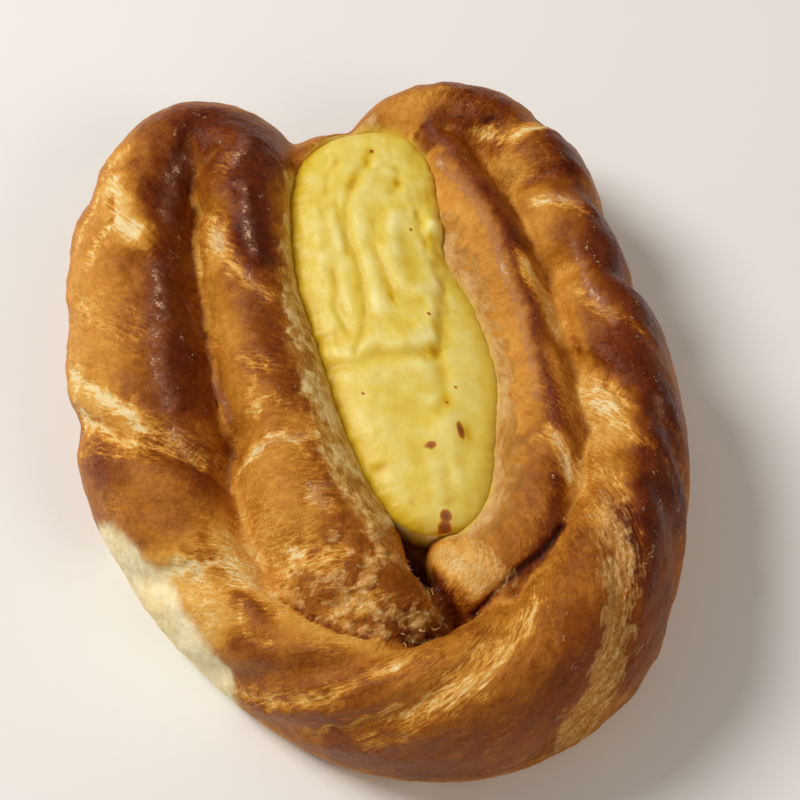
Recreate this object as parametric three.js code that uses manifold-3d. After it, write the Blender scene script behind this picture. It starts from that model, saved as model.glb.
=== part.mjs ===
// A danish pastry: one long rope of twisted, leafy dough, laid down as a broad loop that is
// doubled back at both far corners, so that its two ends run side by side down the middle.
// Baked custard fills the trough between those two inner strands.
//
// Millimetres, +Z up. The pastry stands on z = 0, its length lies along Y, and the origin is
// the middle of its base. "Right" and "left" of a strand are as seen when walking along the
// rope, from the torn end of the inner left strand, round by the near end, to the end of the
// inner right strand: the left side is the inside of every bend.

import * as THREE from "three";
import { LoftGeometry } from "three/addons/geometries/LoftGeometry.js";
import { mergeVertices } from "three/addons/utils/BufferGeometryUtils.js";
import Module from "manifold-3d";

const wasm = await Module();
wasm.setup();

// ---- Driving dimensions -------------------------------------------------------------------

// The rope: [x, y, right half-width, left half-width, belly height, crown height over belly].
const ROPE = [
  // torn end and inner left strand, towards the far end
  [2.6, -47, 4, 6.4, 6, 9.5],
  [-2.6, -44.8, 6.6, 11.4, 10, 15],
  [-9.2, -37.6, 10, 14.2, 11, 18.5],
  [-14, -24, 12.8, 13.4, 11, 20],
  [-16, -7, 13, 11.5, 11, 20],
  [-17.5, 17, 11.3, 10.2, 11, 19],
  [-15.5, 42.5, 12, 10.5, 11, 19],
  // far left bend
  [-16.3, 52.2, 12.4, 9, 10.5, 18.5],
  [-23.5, 56, 11.3, 9, 10.5, 18.5],
  [-30.5, 51, 10.8, 9, 10.5, 18.5],
  // outer left strand, towards the near end
  [-35, 41, 12.1, 10, 11, 18.5],
  [-38.5, 17.5, 12.8, 12.6, 11, 19.5],
  [-38.5, -8, 12.3, 13, 10.5, 18.5],
  [-31.5, -32.4, 9, 8.6, 9, 16],
  // round the near end
  [-13.9, -51.7, 9.2, 8.2, 10.5, 17.5],
  [6.5, -56.2, 10.7, 10.6, 11, 19.5],
  [24.5, -48, 11.8, 11.5, 11, 20],
  // outer right strand, towards the far end
  [38, -26, 10.2, 11.5, 11, 19.5],
  [42.2, -1, 9.2, 12, 11, 19],
  [40.2, 22, 8, 11.2, 11, 18],
  [37.8, 39, 9.2, 9.8, 10.5, 18],
  // far right bend
  [30, 50, 9.2, 8, 10.5, 17.5],
  [22.8, 52.2, 10.6, 7.5, 10.5, 17.5],
  [19, 48.6, 16.5, 6.5, 10.5, 17.5],
  [21.8, 40, 15, 7.5, 10.5, 18],
  // inner right strand and its end
  [26, 24, 13.4, 6, 11, 19],
  [27.4, 0, 12, 6.2, 11, 19],
  [25, -21, 13.5, 7.5, 11, 19],
  [18.5, -33.5, 15, 8, 10, 17.5],
  [11, -39, 14, 7.5, 9.5, 16],
  [1.6, -38.8, 8, 5, 8, 13],
];

const ROUND_OVER = 2.15; // exponent of the section above the belly: 2 is an ellipse
const ROUND_UNDER = 3.6; // and below it, where the dough has spread on the tray
const RING_STEP = 4.55; // distance between two rings of vertices along a strand
const RING_SIDES = 25;
const TUCKED_SHARE = 0.75; // size of the hidden ring by which a strand starts in the one before
const TIGHTEST_BEND = 1.12; // a strand's inner half-width times this stays under its bend radius

// Where the rope changes from one strand to the next, as a share of its length.
const STRAND_ENDS = [0, 0.226, 0.505, 0.79, 1];

// Folds of the twisted dough: [distance along the rope where the fold crosses the crown,
// how far it runs on for each radian round the strand, depth, half-width].
const FOLDS = [
  [21, 6, 1.2, 3.5],
  [46, 2, 1.6, 3],
  [66, 8, 0.8, 4],
  [84, 11, 1.4, 3],
  [112, 10, 0.8, 4],
  [143, 13, 1.1, 3],
  [164, 10, 0.7, 4],
  [183, 9.6, 2.0, 3.2],
  [210, 9, 1.8, 3],
  [236, 14, 1.8, 3.2],
  [255, 17, 1.4, 3],
  [286, 15, 1.6, 3.2],
  [303, 10, 1.5, 3],
  [316, 11, 1.8, 3],
  [343, 3.5, 3.1, 3.6],
  [362, 6, 1.6, 2.8],
  [377, 3, 1.4, 3],
  [404, 6, 0.8, 3],
  [443, 8, 0.9, 3],
  [469, 8, 1.3, 3],
];
const PROOFED = 0.7; // how far the dough stands out between its folds

const FLOOR = { x: 0, y: -3, halfWidth: 40, halfLength: 50, height: 9 }; // below all strands
const SADDLE = { x: 2, y: 49.5, z: 10, halfWidth: 14, halfLength: 8.5, halfHeight: 14 };
const BASE_CUT = 0.6; // the tray has flattened this much of the dough's underside

// The custard: [y, middle of its width in x, half-width before its ends are rounded].
const CUSTARD = [
  [-29.8, 5.4, 10.8],
  [-19, 5.2, 10.8],
  [-2, 6, 13.2],
  [12, 5, 13.2],
  [23, 3.3, 12.3],
  [38, 5, 12.9],
  [52.8, 6.8, 13.3],
];
const CUSTARD_END_SHARPNESS = 5.5;
const CUSTARD_BED = 9.6; // its lowest point, on the floor of dough
const CUSTARD_EDGE = 22; // height of its rim
const CUSTARD_CROWN = 3.6; // how far its middle stands over the rim
const CUSTARD_RINGS = 34;
const CUSTARD_SIDES = 30;
const TONGUE = { y: 3.5, height: 1.3, step: 2.2 }; // the thicker, rippled far half, and its front
const RIPPLE = { height: 0.55, pitch: 5.2, sway: 1.8 };
const FIT_GAP = 0.3; // kept between the custard and the dough
const FUNNEL = { flare: 0.8, height: 12, points: 60 }; // the dough falls to the rim at this slope
const WELD = 1e-3; // vertices nearer than this are one
const SLIVER = 0.03; // and features of a joined solid smaller than this are dropped

// ---- The rope's centreline ----------------------------------------------------------------

const centre = new THREE.CatmullRomCurve3(
  ROPE.map(([x, y, , , belly]) => new THREE.Vector3(x, y, belly)),
  false,
  "centripetal",
);
const sizes = new THREE.CatmullRomCurve3(
  ROPE.map(([, , right, left, , crown]) => new THREE.Vector3(right, left, crown)),
  false,
  "catmullrom",
);
const SAMPLES = 1500;
const plan = (t) => centre.getPoint(t).setZ(0);
const travelled = [0];
for (let i = 1; i <= SAMPLES; i += 1) {
  const stride = plan(i / SAMPLES).distanceTo(plan((i - 1) / SAMPLES));
  travelled.push(travelled[i - 1] + stride);
}
const ROPE_LENGTH = travelled[SAMPLES];

// The curve's parameter at a distance along the rope.
function parameterAt(distance) {
  let i = travelled.findIndex((d) => d >= distance);
  if (i < 1) i = distance <= 0 ? 1 : SAMPLES;
  const share = (distance - travelled[i - 1]) / (travelled[i] - travelled[i - 1]);
  return THREE.MathUtils.clamp((i - 1 + share) / SAMPLES, 0, 1);
}

// Place, direction, sideways direction and bend radius of the rope at a distance along it.
function stationAt(distance) {
  const reach = 2.5;
  const t = parameterAt(distance);
  const middle = THREE.MathUtils.clamp(distance, reach, ROPE_LENGTH - reach);
  const behind = plan(parameterAt(middle - reach));
  const here = plan(parameterAt(middle));
  const ahead = plan(parameterAt(middle + reach));
  const along = ahead.clone().sub(behind).normalize();
  const into = here.clone().sub(behind).normalize();
  const outOf = ahead.clone().sub(here).normalize();
  const turn = into.angleTo(outOf) || 1e-6;
  const bendRadius = ahead.distanceTo(behind) / 2 / turn;
  const [right, left, crown] = sizes.getPoint(t).toArray();
  return {
    place: plan(t),
    belly: centre.getPoint(t).z,
    bendRadius,
    side: new THREE.Vector3(along.y, -along.x, 0),
    right,
    left: Math.min(left, bendRadius / TIGHTEST_BEND),
    crown,
  };
}

// ---- The dough's skin ---------------------------------------------------------------------

const signedPower = (value, power) => Math.sign(value) * Math.abs(value) ** power;

// How far the skin stands off the plain section: folds press in, the dough between swells.
function relief(distance, angle) {
  const fromCrown = THREE.MathUtils.euclideanModulo(angle + Math.PI / 2, 2 * Math.PI) - Math.PI;
  let lift = PROOFED;
  for (const [station, lean, depth, halfWidth] of FOLDS) {
    const off = (distance - station - lean * fromCrown) / halfWidth;
    lift -= depth * Math.exp(-off * off);
  }
  return lift * THREE.MathUtils.smoothstep(Math.sin(angle), -0.5, 0.3);
}

// A point of the skin: angle 0 is the right side, and a quarter turn is the crown. A share
// under 1 lies inside the dough.
function skinPoint(distance, angle, share = 1) {
  const at = stationAt(distance);
  const across = Math.cos(angle);
  const rise = Math.sin(angle);
  const power = 2 / (rise > 0 ? ROUND_OVER : ROUND_UNDER);
  const halfWidth = across > 0 ? at.right : at.left;
  const halfHeight = rise > 0 ? at.crown : at.belly + BASE_CUT;
  const lift = relief(distance, angle);
  const offset = halfWidth * signedPower(across, power) + lift * across;
  const height = halfHeight * signedPower(rise, power) + lift * rise;
  return at.place
    .clone()
    .addScaledVector(at.side, offset * share)
    .setZ(at.belly + height * share);
}

// ---- Solids -------------------------------------------------------------------------------

function solidFrom(geometry) {
  const bare = new THREE.BufferGeometry();
  bare.setAttribute("position", geometry.getAttribute("position"));
  bare.setIndex(geometry.index);
  const merged = mergeVertices(bare, WELD);
  return new wasm.Manifold(
    new wasm.Mesh({
      numProp: 3,
      vertProperties: new Float32Array(merged.attributes.position.array),
      triVerts: new Uint32Array(merged.index.array),
    }),
  );
}

function geometryOf(solid) {
  const { vertProperties, triVerts } = solid.getMesh();
  const geometry = new THREE.BufferGeometry();
  geometry.setAttribute("position", new THREE.BufferAttribute(vertProperties, 3));
  geometry.setIndex(new THREE.BufferAttribute(triVerts, 1));
  return geometry;
}

function ring(sides, pointAt) {
  return Array.from({ length: sides }, (_, i) => pointAt((i / sides) * Math.PI * 2));
}

// Distances along the rope for the rings of a strand, closer together in its bends.
function ringDistances(from, to) {
  const distances = [from];
  let last = from;
  while (last < to) {
    const { right, bendRadius } = stationAt(last);
    last += RING_STEP / (1 + right / bendRadius);
    distances.push(last);
  }
  return distances.map((distance) => from + ((distance - from) * (to - from)) / (last - from));
}

// One strand of the rope, closed at both ends. It starts inside the strand before it.
function strand(from, to) {
  const section = (distance, share) =>
    ring(RING_SIDES, (angle) => skinPoint(distance, -angle, share));
  const sections = ringDistances(from, to).map((distance) => section(distance, 1));
  if (from > 0) sections.unshift(section(from - RING_STEP, TUCKED_SHARE));
  return solidFrom(new LoftGeometry(sections, { capStart: true, capEnd: true }));
}

function floorUnderCustard() {
  const outline = new THREE.Shape();
  outline.absellipse(FLOOR.x, FLOOR.y, FLOOR.halfWidth, FLOOR.halfLength, 0, Math.PI * 2);
  const options = { depth: FLOOR.height, bevelEnabled: false, curveSegments: 20 };
  return solidFrom(new THREE.ExtrudeGeometry(outline, options));
}

// The low saddle of dough that joins the two far bends behind the custard.
function saddle() {
  const ball = new THREE.SphereGeometry(1, 24, 14);
  ball.scale(SADDLE.halfWidth, SADDLE.halfLength, SADDLE.halfHeight);
  ball.translate(SADDLE.x, SADDLE.y, SADDLE.z);
  return solidFrom(ball);
}

function aboveTray() {
  const box = new THREE.BoxGeometry(300, 300, 100);
  box.translate(0, 0, 50);
  return solidFrom(box);
}

// Height that the custard's flow adds at a place on its top.
function flow(x, y) {
  const front = THREE.MathUtils.smoothstep(y, TONGUE.y - TONGUE.step, TONGUE.y + TONGUE.step);
  const ripple = Math.sin(((x + RIPPLE.sway * Math.sin(y / 7)) / RIPPLE.pitch) * Math.PI * 2);
  return front * (TONGUE.height + RIPPLE.height * ripple);
}

const custardMiddle = new THREE.CatmullRomCurve3(
  CUSTARD.map(([y, x, halfWidth]) => new THREE.Vector3(x, y, halfWidth)),
);
const CUSTARD_NEAR = CUSTARD[0][0];
const CUSTARD_LENGTH = CUSTARD[CUSTARD.length - 1][0] - CUSTARD_NEAR;

// The custard's middle, half-width and end rounding at a share of its length from the near end.
function custardAt(share) {
  const { x, z } = custardMiddle.getPointAt(share);
  const rounding = (1 - Math.abs(2 * share - 1) ** CUSTARD_END_SHARPNESS) ** 0.5;
  return { x, y: CUSTARD_NEAR + CUSTARD_LENGTH * share, halfWidth: z * rounding, rounding };
}

// The custard, or with a margin the bed that it lies in.
function custardPool(margin) {
  const sections = Array.from({ length: CUSTARD_RINGS + 1 }, (_, i) => {
    const turn = Math.PI * (0.03 + (0.94 * i) / CUSTARD_RINGS);
    const at = custardAt((1 - Math.cos(turn)) / 2);
    const y = at.y - margin * Math.cos(turn);
    const depth = (CUSTARD_EDGE - CUSTARD_BED) * (0.35 + 0.65 * at.rounding) + margin;
    return ring(CUSTARD_SIDES, (angle) => {
      const rise = -Math.sin(angle);
      const x = at.x + (at.halfWidth + margin) * signedPower(Math.cos(angle), 0.8);
      const crown = CUSTARD_CROWN * at.rounding + flow(x, y);
      const height = rise > 0 ? crown * rise ** 0.6 : depth * signedPower(rise, 0.7);
      return new THREE.Vector3(x, y, CUSTARD_EDGE + height);
    });
  });
  return solidFrom(new LoftGeometry(sections, { capStart: true, capEnd: true }));
}

// The clear space over the custard, up to which the strands on both sides slope down.
function funnel() {
  const rim = (turn) => {
    const at = custardAt((1 - Math.cos(turn)) / 2);
    return new THREE.Vector3(at.x + at.halfWidth * Math.sign(Math.sin(turn)), at.y, 0);
  };
  const level = (grow, z) =>
    ring(FUNNEL.points, (angle) => {
      const turn = angle + Math.PI / FUNNEL.points;
      const along = rim(turn + 0.06).sub(rim(turn - 0.06)).normalize();
      return rim(turn).add(new THREE.Vector3(along.y * grow, -along.x * grow, z));
    });
  const sections = [
    level(FIT_GAP - FUNNEL.flare, CUSTARD_EDGE - 1),
    level(FIT_GAP + FUNNEL.flare * FUNNEL.height, CUSTARD_EDGE + FUNNEL.height),
  ];
  return solidFrom(new LoftGeometry(sections, { capStart: true, capEnd: true }));
}

// A solid without the slivers, specks and pinholes that joining and cutting leave.
function largestBody(solid) {
  const clean = solid.simplify(SLIVER);
  return clean.decompose().sort((a, b) => b.volume() - a.volume())[0];
}

// The strands joined to the floor and the saddle, with the custard's hollow cut into them.
function bakedDough() {
  let dough = floorUnderCustard().add(saddle());
  for (let i = 1; i < STRAND_ENDS.length; i += 1) {
    dough = dough.add(strand(STRAND_ENDS[i - 1] * ROPE_LENGTH, STRAND_ENDS[i] * ROPE_LENGTH));
  }
  const trough = custardPool(FIT_GAP).add(funnel());
  return largestBody(dough.intersect(aboveTray()).subtract(trough));
}

// ---- Scene graph --------------------------------------------------------------------------

function meshOf(name, solid, material) {
  const geometry = geometryOf(solid);
  geometry.computeVertexNormals();
  const mesh = new THREE.Mesh(geometry, material);
  mesh.name = name;
  return mesh;
}

const crust = new THREE.MeshStandardMaterial({ color: 0xb8702e, roughness: 0.45, metalness: 0 });
const cream = new THREE.MeshStandardMaterial({ color: 0xdac453, roughness: 0.4, metalness: 0 });

const pastry = new THREE.Group();
pastry.name = "danish_pastry";
pastry.add(meshOf("dough", bakedDough(), crust));
pastry.add(meshOf("custard", custardPool(0), cream));

export default pastry;
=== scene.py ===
# %% [markdown]
# # A danish pastry with baked custard
# One long rope of sweet dough is bent into a flat double hook, four strands side by side, and
# custard is piped into the gap between the two inner strands before it all goes into the oven.
# Two pieces are made here: the dough and the custard. Both follow the same rules of length,
# width and height as the solid model, and add what the oven adds: browning, cracks and gloss.

# %% Load the solid model
import math
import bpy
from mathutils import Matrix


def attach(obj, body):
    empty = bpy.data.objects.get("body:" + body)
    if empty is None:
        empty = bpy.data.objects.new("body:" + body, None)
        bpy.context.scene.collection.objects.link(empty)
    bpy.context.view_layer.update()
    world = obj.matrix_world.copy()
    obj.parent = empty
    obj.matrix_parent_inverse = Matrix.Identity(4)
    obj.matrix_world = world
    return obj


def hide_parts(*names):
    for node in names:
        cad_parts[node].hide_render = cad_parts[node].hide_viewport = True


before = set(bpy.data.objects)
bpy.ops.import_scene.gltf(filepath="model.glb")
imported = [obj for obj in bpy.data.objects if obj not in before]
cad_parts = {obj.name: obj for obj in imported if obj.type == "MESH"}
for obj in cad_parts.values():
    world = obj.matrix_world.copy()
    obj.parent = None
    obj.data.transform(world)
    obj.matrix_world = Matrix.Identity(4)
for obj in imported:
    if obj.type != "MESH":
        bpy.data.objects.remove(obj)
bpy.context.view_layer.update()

from types import SimpleNamespace
import bpy
import numpy as np
from mathutils import Vector, noise
from mathutils.bvhtree import BVHTree
MM = 0.001

# %% [markdown]
# ## The line of the rope
# Each row below is one place along the rope, in millimetres: where its middle is on the tray, how
# far the dough reaches to the right and to the left of its line of travel, how high the widest
# part sits and how much dough is above it. A smooth curve is drawn through the rows. A
# centripetal curve is used for the line itself, because it never loops back at a tight bend.

# %% Rows along the rope
CURVE_STEPS = 3001  # points on the smooth curve through the rows
ROPE = np.array([
    # x, y, right, left, belly height, crown above belly
    [2.6, -47, 4, 6.4, 6, 9.5], [-2.6, -44.8, 6.6, 11.4, 10, 15], [-9.2, -37.6, 10, 14.2, 11, 18.5],
    [-14, -24, 12.8, 13.4, 11, 20], [-16, -7, 13, 11.5, 11, 20], [-17.5, 17, 11.3, 10.2, 11, 19],
    [-15.5, 42.5, 12, 10.5, 11, 19], [-16.3, 52.2, 12.4, 9, 10.5, 18.5],
    [-23.5, 56, 11.3, 9, 10.5, 18.5], [-30.5, 51, 10.8, 9, 10.5, 18.5],
    [-35, 41, 12.1, 10, 11, 18.5], [-38.5, 17.5, 12.8, 12.6, 11, 19.5],
    [-38.5, -8, 12.3, 13, 10.5, 18.5], [-31.5, -32.4, 9, 8.6, 9, 16],
    [-13.9, -51.7, 9.2, 8.2, 10.5, 17.5], [6.5, -56.2, 10.7, 10.6, 11, 19.5],
    [24.5, -48, 11.8, 11.5, 11, 20], [38, -26, 10.2, 11.5, 11, 19.5],
    [42.2, -1, 9.2, 12, 11, 19], [40.2, 22, 8, 11.2, 11, 18], [37.8, 39, 9.2, 9.8, 10.5, 18],
    [30, 50, 9.2, 8, 10.5, 17.5], [22.8, 52.2, 10.6, 7.5, 10.5, 17.5],
    [19, 48.6, 16.5, 6.5, 10.5, 17.5], [21.8, 40, 15, 7.5, 10.5, 18],
    [26, 24, 13.4, 6, 11, 19], [27.4, 0, 12, 6.2, 11, 19], [25, -21, 13.5, 7.5, 11, 19],
    [18.5, -33.5, 15, 8, 10, 17.5], [11, -39, 14, 7.5, 9.5, 16], [1.6, -38.8, 8, 5, 8, 13],
], float)


def smooth_curve(points, steps, centripetal):
    ends = np.vstack([2 * points[0] - points[1], points, 2 * points[-1] - points[-2]])
    place = np.linspace(0, len(points) - 1, steps)
    first = np.minimum(place.astype(int), len(points) - 2)
    blend = (place - first)[:, None]
    before, start, end, after = (ends[first + i] for i in range(4))
    if centripetal:
        gap = [np.linalg.norm(b - a, axis=1, keepdims=True) ** 0.5
               for a, b in ((before, start), (start, end), (end, after))]
        leave = ((start - before) / gap[0] - (end - before) / (gap[0] + gap[1])
                 + (end - start) / gap[1]) * gap[1]
        arrive = ((end - start) / gap[1] - (after - start) / (gap[1] + gap[2])
                  + (after - end) / gap[2]) * gap[1]
    else:
        leave, arrive = (end - before) / 2, (after - start) / 2
    square = -3 * start + 3 * end - 2 * leave - arrive
    cube = 2 * start - 2 * end + leave + arrive
    return start + blend * (leave + blend * (square + blend * cube))


line = smooth_curve(ROPE[:, [0, 1, 4]], CURVE_STEPS, True)
sizes = smooth_curve(ROPE[:, [2, 3, 5]], CURVE_STEPS, False)
steps = np.linalg.norm(np.diff(line[:, :2], axis=0), axis=1)
travelled = np.concatenate([[0], np.cumsum(steps)])
ROPE_LENGTH = travelled[-1]
print(f"rope length {ROPE_LENGTH:.0f} mm")

# %% [markdown]
# ## What the rope knows at each place
# The direction to its right is measured over a short reach on both sides, so that the sides of a
# bend don't fold over themselves, and the inside of a bend is never wider than its radius allows.

# %% Stations one millimetre apart
REACH = 2.5  # how far back and ahead the direction is measured
TIGHTEST_BEND = 1.12  # the inside of a bend is narrower than its radius by this factor
BARELY = 1e-6  # keeps a straight piece from dividing by nothing


def on_line(where, column):
    return np.interp(np.clip(where, 0, ROPE_LENGTH), travelled, column)


stations = np.linspace(0, ROPE_LENGTH, int(ROPE_LENGTH) + 1)
here = np.stack([on_line(stations, line[:, i]) for i in range(2)], 1)
back = np.stack([on_line(stations - REACH, line[:, i]) for i in range(2)], 1)
ahead = np.stack([on_line(stations + REACH, line[:, i]) for i in range(2)], 1)
along = (ahead - back) / np.linalg.norm(ahead - back, axis=1, keepdims=True)
coming = np.arctan2(*(here - back + 1e-9).T[::-1])
going = np.arctan2(*(ahead - here + 1e-9).T[::-1])
turn = np.abs((going - coming + math.pi) % (2 * math.pi) - math.pi) + BARELY
turn[[0, -1]] = BARELY
bend = np.linalg.norm(ahead - back, axis=1) / 2 / turn
right, left, crown = (on_line(stations, sizes[:, i]) for i in range(3))
left = np.minimum(left, bend / TIGHTEST_BEND)
print(f"{len(stations)} stations, tightest bend {bend.min():.1f} mm")

# %% [markdown]
# ## Sweeping the rope
# The rope is a shape that follows a path, so Geometry Nodes sweep it: the stations become a
# curve, a circle is carried along it, and each point of the circle is then moved out to a
# rounded box whose roundness differs above and below its widest line. The names on the tree's
# inputs are its sizes, so another bun needs only other numbers.

# %% A short way to build node trees
def join(tree, source, target):
    if isinstance(source, bpy.types.NodeSocket):
        tree.links.new(source, target)
    elif source is not None:
        target.default_value = source


def add_node(tree, kind, sockets=None, **settings):
    made = tree.nodes.new(kind)
    for name, value in settings.items():
        setattr(made, name, value)
    for name, value in (sockets or {}).items():
        join(tree, value, made.inputs[name])
    return made


def maths(tree, operation, *values):
    made = add_node(tree, "ShaderNodeMath", dict(enumerate(values)), operation=operation)
    return made.outputs[0]


def vector_maths(tree, operation, **sockets):
    made = add_node(tree, "ShaderNodeVectorMath", operation=operation)
    for name, value in sockets.items():
        join(tree, value, made.inputs[{"a": 0, "b": 1, "scale": "Scale"}[name]])
    return made.outputs[0]


def geometry_tree(name, inputs):
    tree = bpy.data.node_groups.new(name, "GeometryNodeTree")
    tree.interface.new_socket("Geometry", in_out="INPUT", socket_type="NodeSocketGeometry")
    for label, kind, value in inputs:
        socket = tree.interface.new_socket(label, in_out="INPUT", socket_type=kind)
        socket.default_value = value
    tree.interface.new_socket("Geometry", in_out="OUTPUT", socket_type="NodeSocketGeometry")
    return tree, add_node(tree, "NodeGroupInput"), add_node(tree, "NodeGroupOutput")


def named(tree, name, kind="FLOAT"):
    return add_node(tree, "GeometryNodeInputNamedAttribute", {"Name": name},
                    data_type=kind).outputs[0]


def stored(tree, geometry, name, value, kind="FLOAT"):
    return add_node(tree, "GeometryNodeStoreNamedAttribute", {
        "Geometry": geometry, "Name": name, "Value": value},
        data_type=kind, domain="POINT").outputs[0]


# %% The tree that sweeps the dough
RING_SPACING, RING_SIDES = 0.7 * MM, 120  # the size of the sweep's faces


def sweep_tree():
    tree, given, result = geometry_tree("sweep dough", [
        ("Ring spacing", "NodeSocketFloat", RING_SPACING), ("Sides", "NodeSocketInt", RING_SIDES),
        ("Roundness above", "NodeSocketFloat", 2.15), ("Roundness below", "NodeSocketFloat", 3.6),
        ("Cut at the base", "NodeSocketFloat", 0.6 * MM), ("Dough", "NodeSocketMaterial", None)])
    path = add_node(tree, "GeometryNodeMeshToCurve", {"Mesh": given.outputs["Geometry"]})
    even = add_node(tree, "GeometryNodeResampleCurve", mode="LENGTH", sockets={
        "Curve": path.outputs[0], "Length": given.outputs["Ring spacing"]})
    position = add_node(tree, "GeometryNodeInputPosition").outputs[0]
    rail = stored(tree, even.outputs[0], "place", position, "FLOAT_VECTOR")
    circle = add_node(tree, "GeometryNodeCurvePrimitiveCircle", {
        "Resolution": given.outputs["Sides"], "Radius": 1 * MM})
    turned = maths(tree, "MULTIPLY_ADD", add_node(tree, "GeometryNodeSplineParameter").outputs[0],
                   2 * math.pi, -math.pi / 2)
    ring = stored(tree, circle.outputs[0], "angle", turned)
    tube = add_node(tree, "GeometryNodeCurveToMesh", {"Curve": rail, "Profile Curve": ring,
                    "Fill Caps": True}).outputs[0]

    across = maths(tree, "COSINE", named(tree, "angle"))
    rise = maths(tree, "SINE", named(tree, "angle"))
    above = maths(tree, "GREATER_THAN", rise, 0.0)
    to_right = maths(tree, "GREATER_THAN", across, 0.0)

    def either(test, yes, no):
        return maths(tree, "MULTIPLY_ADD", test, maths(tree, "SUBTRACT", yes, no), no)

    def rounded(value, power):
        size = maths(tree, "POWER", maths(tree, "ABSOLUTE", value), power)
        return maths(tree, "MULTIPLY", maths(tree, "SIGN", value), size)

    power = maths(tree, "DIVIDE", 2.0, either(above, given.outputs["Roundness above"],
                                               given.outputs["Roundness below"]))
    centre = named(tree, "place", "FLOAT_VECTOR")
    belly = add_node(tree, "ShaderNodeSeparateXYZ", {0: centre}).outputs[2]
    below = maths(tree, "ADD", belly, given.outputs["Cut at the base"])
    half_width = either(to_right, named(tree, "right"), named(tree, "left"))
    half_height = either(above, named(tree, "crown"), below)
    out = maths(tree, "MULTIPLY", half_width, rounded(across, power))
    up = maths(tree, "MULTIPLY", half_height, rounded(rise, power))
    raised = add_node(tree, "ShaderNodeCombineXYZ", {2: up}).outputs[0]
    pushed = vector_maths(tree, "SCALE", a=named(tree, "side", "FLOAT_VECTOR"), scale=out)
    moved = vector_maths(tree, "ADD", a=vector_maths(tree, "ADD", a=centre, b=pushed), b=raised)
    shaped = add_node(tree, "GeometryNodeSetPosition", {"Geometry": tube, "Position": moved})
    real = add_node(tree, "GeometryNodeRealizeInstances", {0: shaped.outputs[0]})
    finish = add_node(tree, "GeometryNodeSetMaterial", {
        "Geometry": real.outputs[0], "Material": given.outputs["Dough"]})
    tree.links.new(finish.outputs[0], result.inputs[0])
    return tree


# %% Helpers that run a tree and keep its plain mesh
def in_scene(name, data):
    made = bpy.data.objects.new(name, data)
    bpy.context.scene.collection.objects.link(made)
    return made


def mesh_object(name, points, faces=(), edges=()):
    mesh = bpy.data.meshes.new(name)
    mesh.from_pydata([tuple(p) for p in points], edges, faces)
    return in_scene(name, mesh)


def evaluated_mesh(source, modifier):
    bpy.context.view_layer.update()
    shown = source.evaluated_get(bpy.context.evaluated_depsgraph_get())
    made = bpy.data.meshes.new_from_object(shown)
    source.modifiers.remove(modifier)
    return made


def run_tree(source, tree, **inputs):
    modifier = source.modifiers.new("shape", "NODES")
    modifier.node_group = tree
    for item in tree.interface.items_tree:
        key = item.name.replace(" ", "_")
        if item.in_out == "INPUT" and key in inputs:
            modifier[item.identifier] = inputs[key]
    return evaluated_mesh(source, modifier)


def read(mesh, name, width=1):
    of_vertex = {"position": "co", "normal": "normal"}.get(name)
    field = mesh.vertices if of_vertex else mesh.attributes[name].data
    values = np.empty(len(mesh.vertices) * width, np.float32)
    field.foreach_get(of_vertex or ("value" if width == 1 else "vector"), values)
    return values.reshape(-1, width).astype(float) if width > 1 else values.astype(float)


def write(mesh, name, values, kind="FLOAT"):
    flat = np.asarray(values, np.float32).ravel()
    if name == "position":
        mesh.vertices.foreach_set("co", flat)
        mesh.update()
    else:
        layer = mesh.attributes.get(name) or mesh.attributes.new(name, kind, "POINT")
        layer.data.foreach_set("value" if kind == "FLOAT" else "vector", flat)


# %% Sweep the dough along its line
spine_points = np.column_stack([here, on_line(stations, line[:, 2])]) * MM
spine = mesh_object("spine", spine_points, edges=[(i, i + 1) for i in range(len(stations) - 1)])
for name, values in (("right", right), ("left", left), ("crown", crown)):
    write(spine.data, name, values * MM)
write(spine.data, "travel", stations)
to_the_right = np.column_stack([along[:, 1], -along[:, 0], 0 * stations])
write(spine.data, "side", to_the_right, "FLOAT_VECTOR")
rope_mesh = run_tree(spine, sweep_tree(), Ring_spacing=RING_SPACING, Sides=RING_SIDES)
print(f"swept rope: {len(rope_mesh.vertices)} points")

# %% [markdown]
# ## Folds left by the twist
# The strips inside the rope show as slanting folds. Each fold is one row: where it crosses the
# top of the rope, how far it leans for each radian round the rope, how deep it is and half its
# width. Between two folds the dough has proofed a little outwards.

# %% Press the folds in
FOLDS = [
    # place along the rope, lean, depth, half-width
    [21, 6, 1.2, 3.5], [46, 2, 1.6, 3], [66, 8, 0.8, 4], [84, 11, 1.4, 3], [112, 10, 0.8, 4],
    [143, 13, 1.1, 3], [164, 10, 0.7, 4], [183, 9.6, 2, 3.2], [210, 9, 1.8, 3],
    [236, 14, 1.8, 3.2], [255, 17, 1.4, 3], [286, 15, 1.6, 3.2], [303, 10, 1.5, 3],
    [316, 11, 1.8, 3], [343, 3.5, 3.1, 3.6], [362, 6, 1.6, 2.8], [377, 3, 1.4, 3],
    [404, 6, 0.8, 3], [443, 8, 0.9, 3], [469, 8, 1.3, 3],
]
PROOFED = 0.7  # how far the dough between two folds has swollen
TOP = math.pi / 2  # angle of the rope's top, counted from its right side


def smoothstep(value, low, high):
    share = np.clip((value - low) / (high - low), 0, 1)
    return share * share * (3 - 2 * share)


def fold_lift(distance, angle):
    lift = np.full_like(distance, PROOFED)
    for station, lean, depth, half_width in FOLDS:
        off = (distance - station - lean * (angle - TOP)) / half_width
        lift -= depth * np.exp(-off * off)
    return lift * smoothstep(np.sin(angle), -0.5, 0.3)


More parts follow.
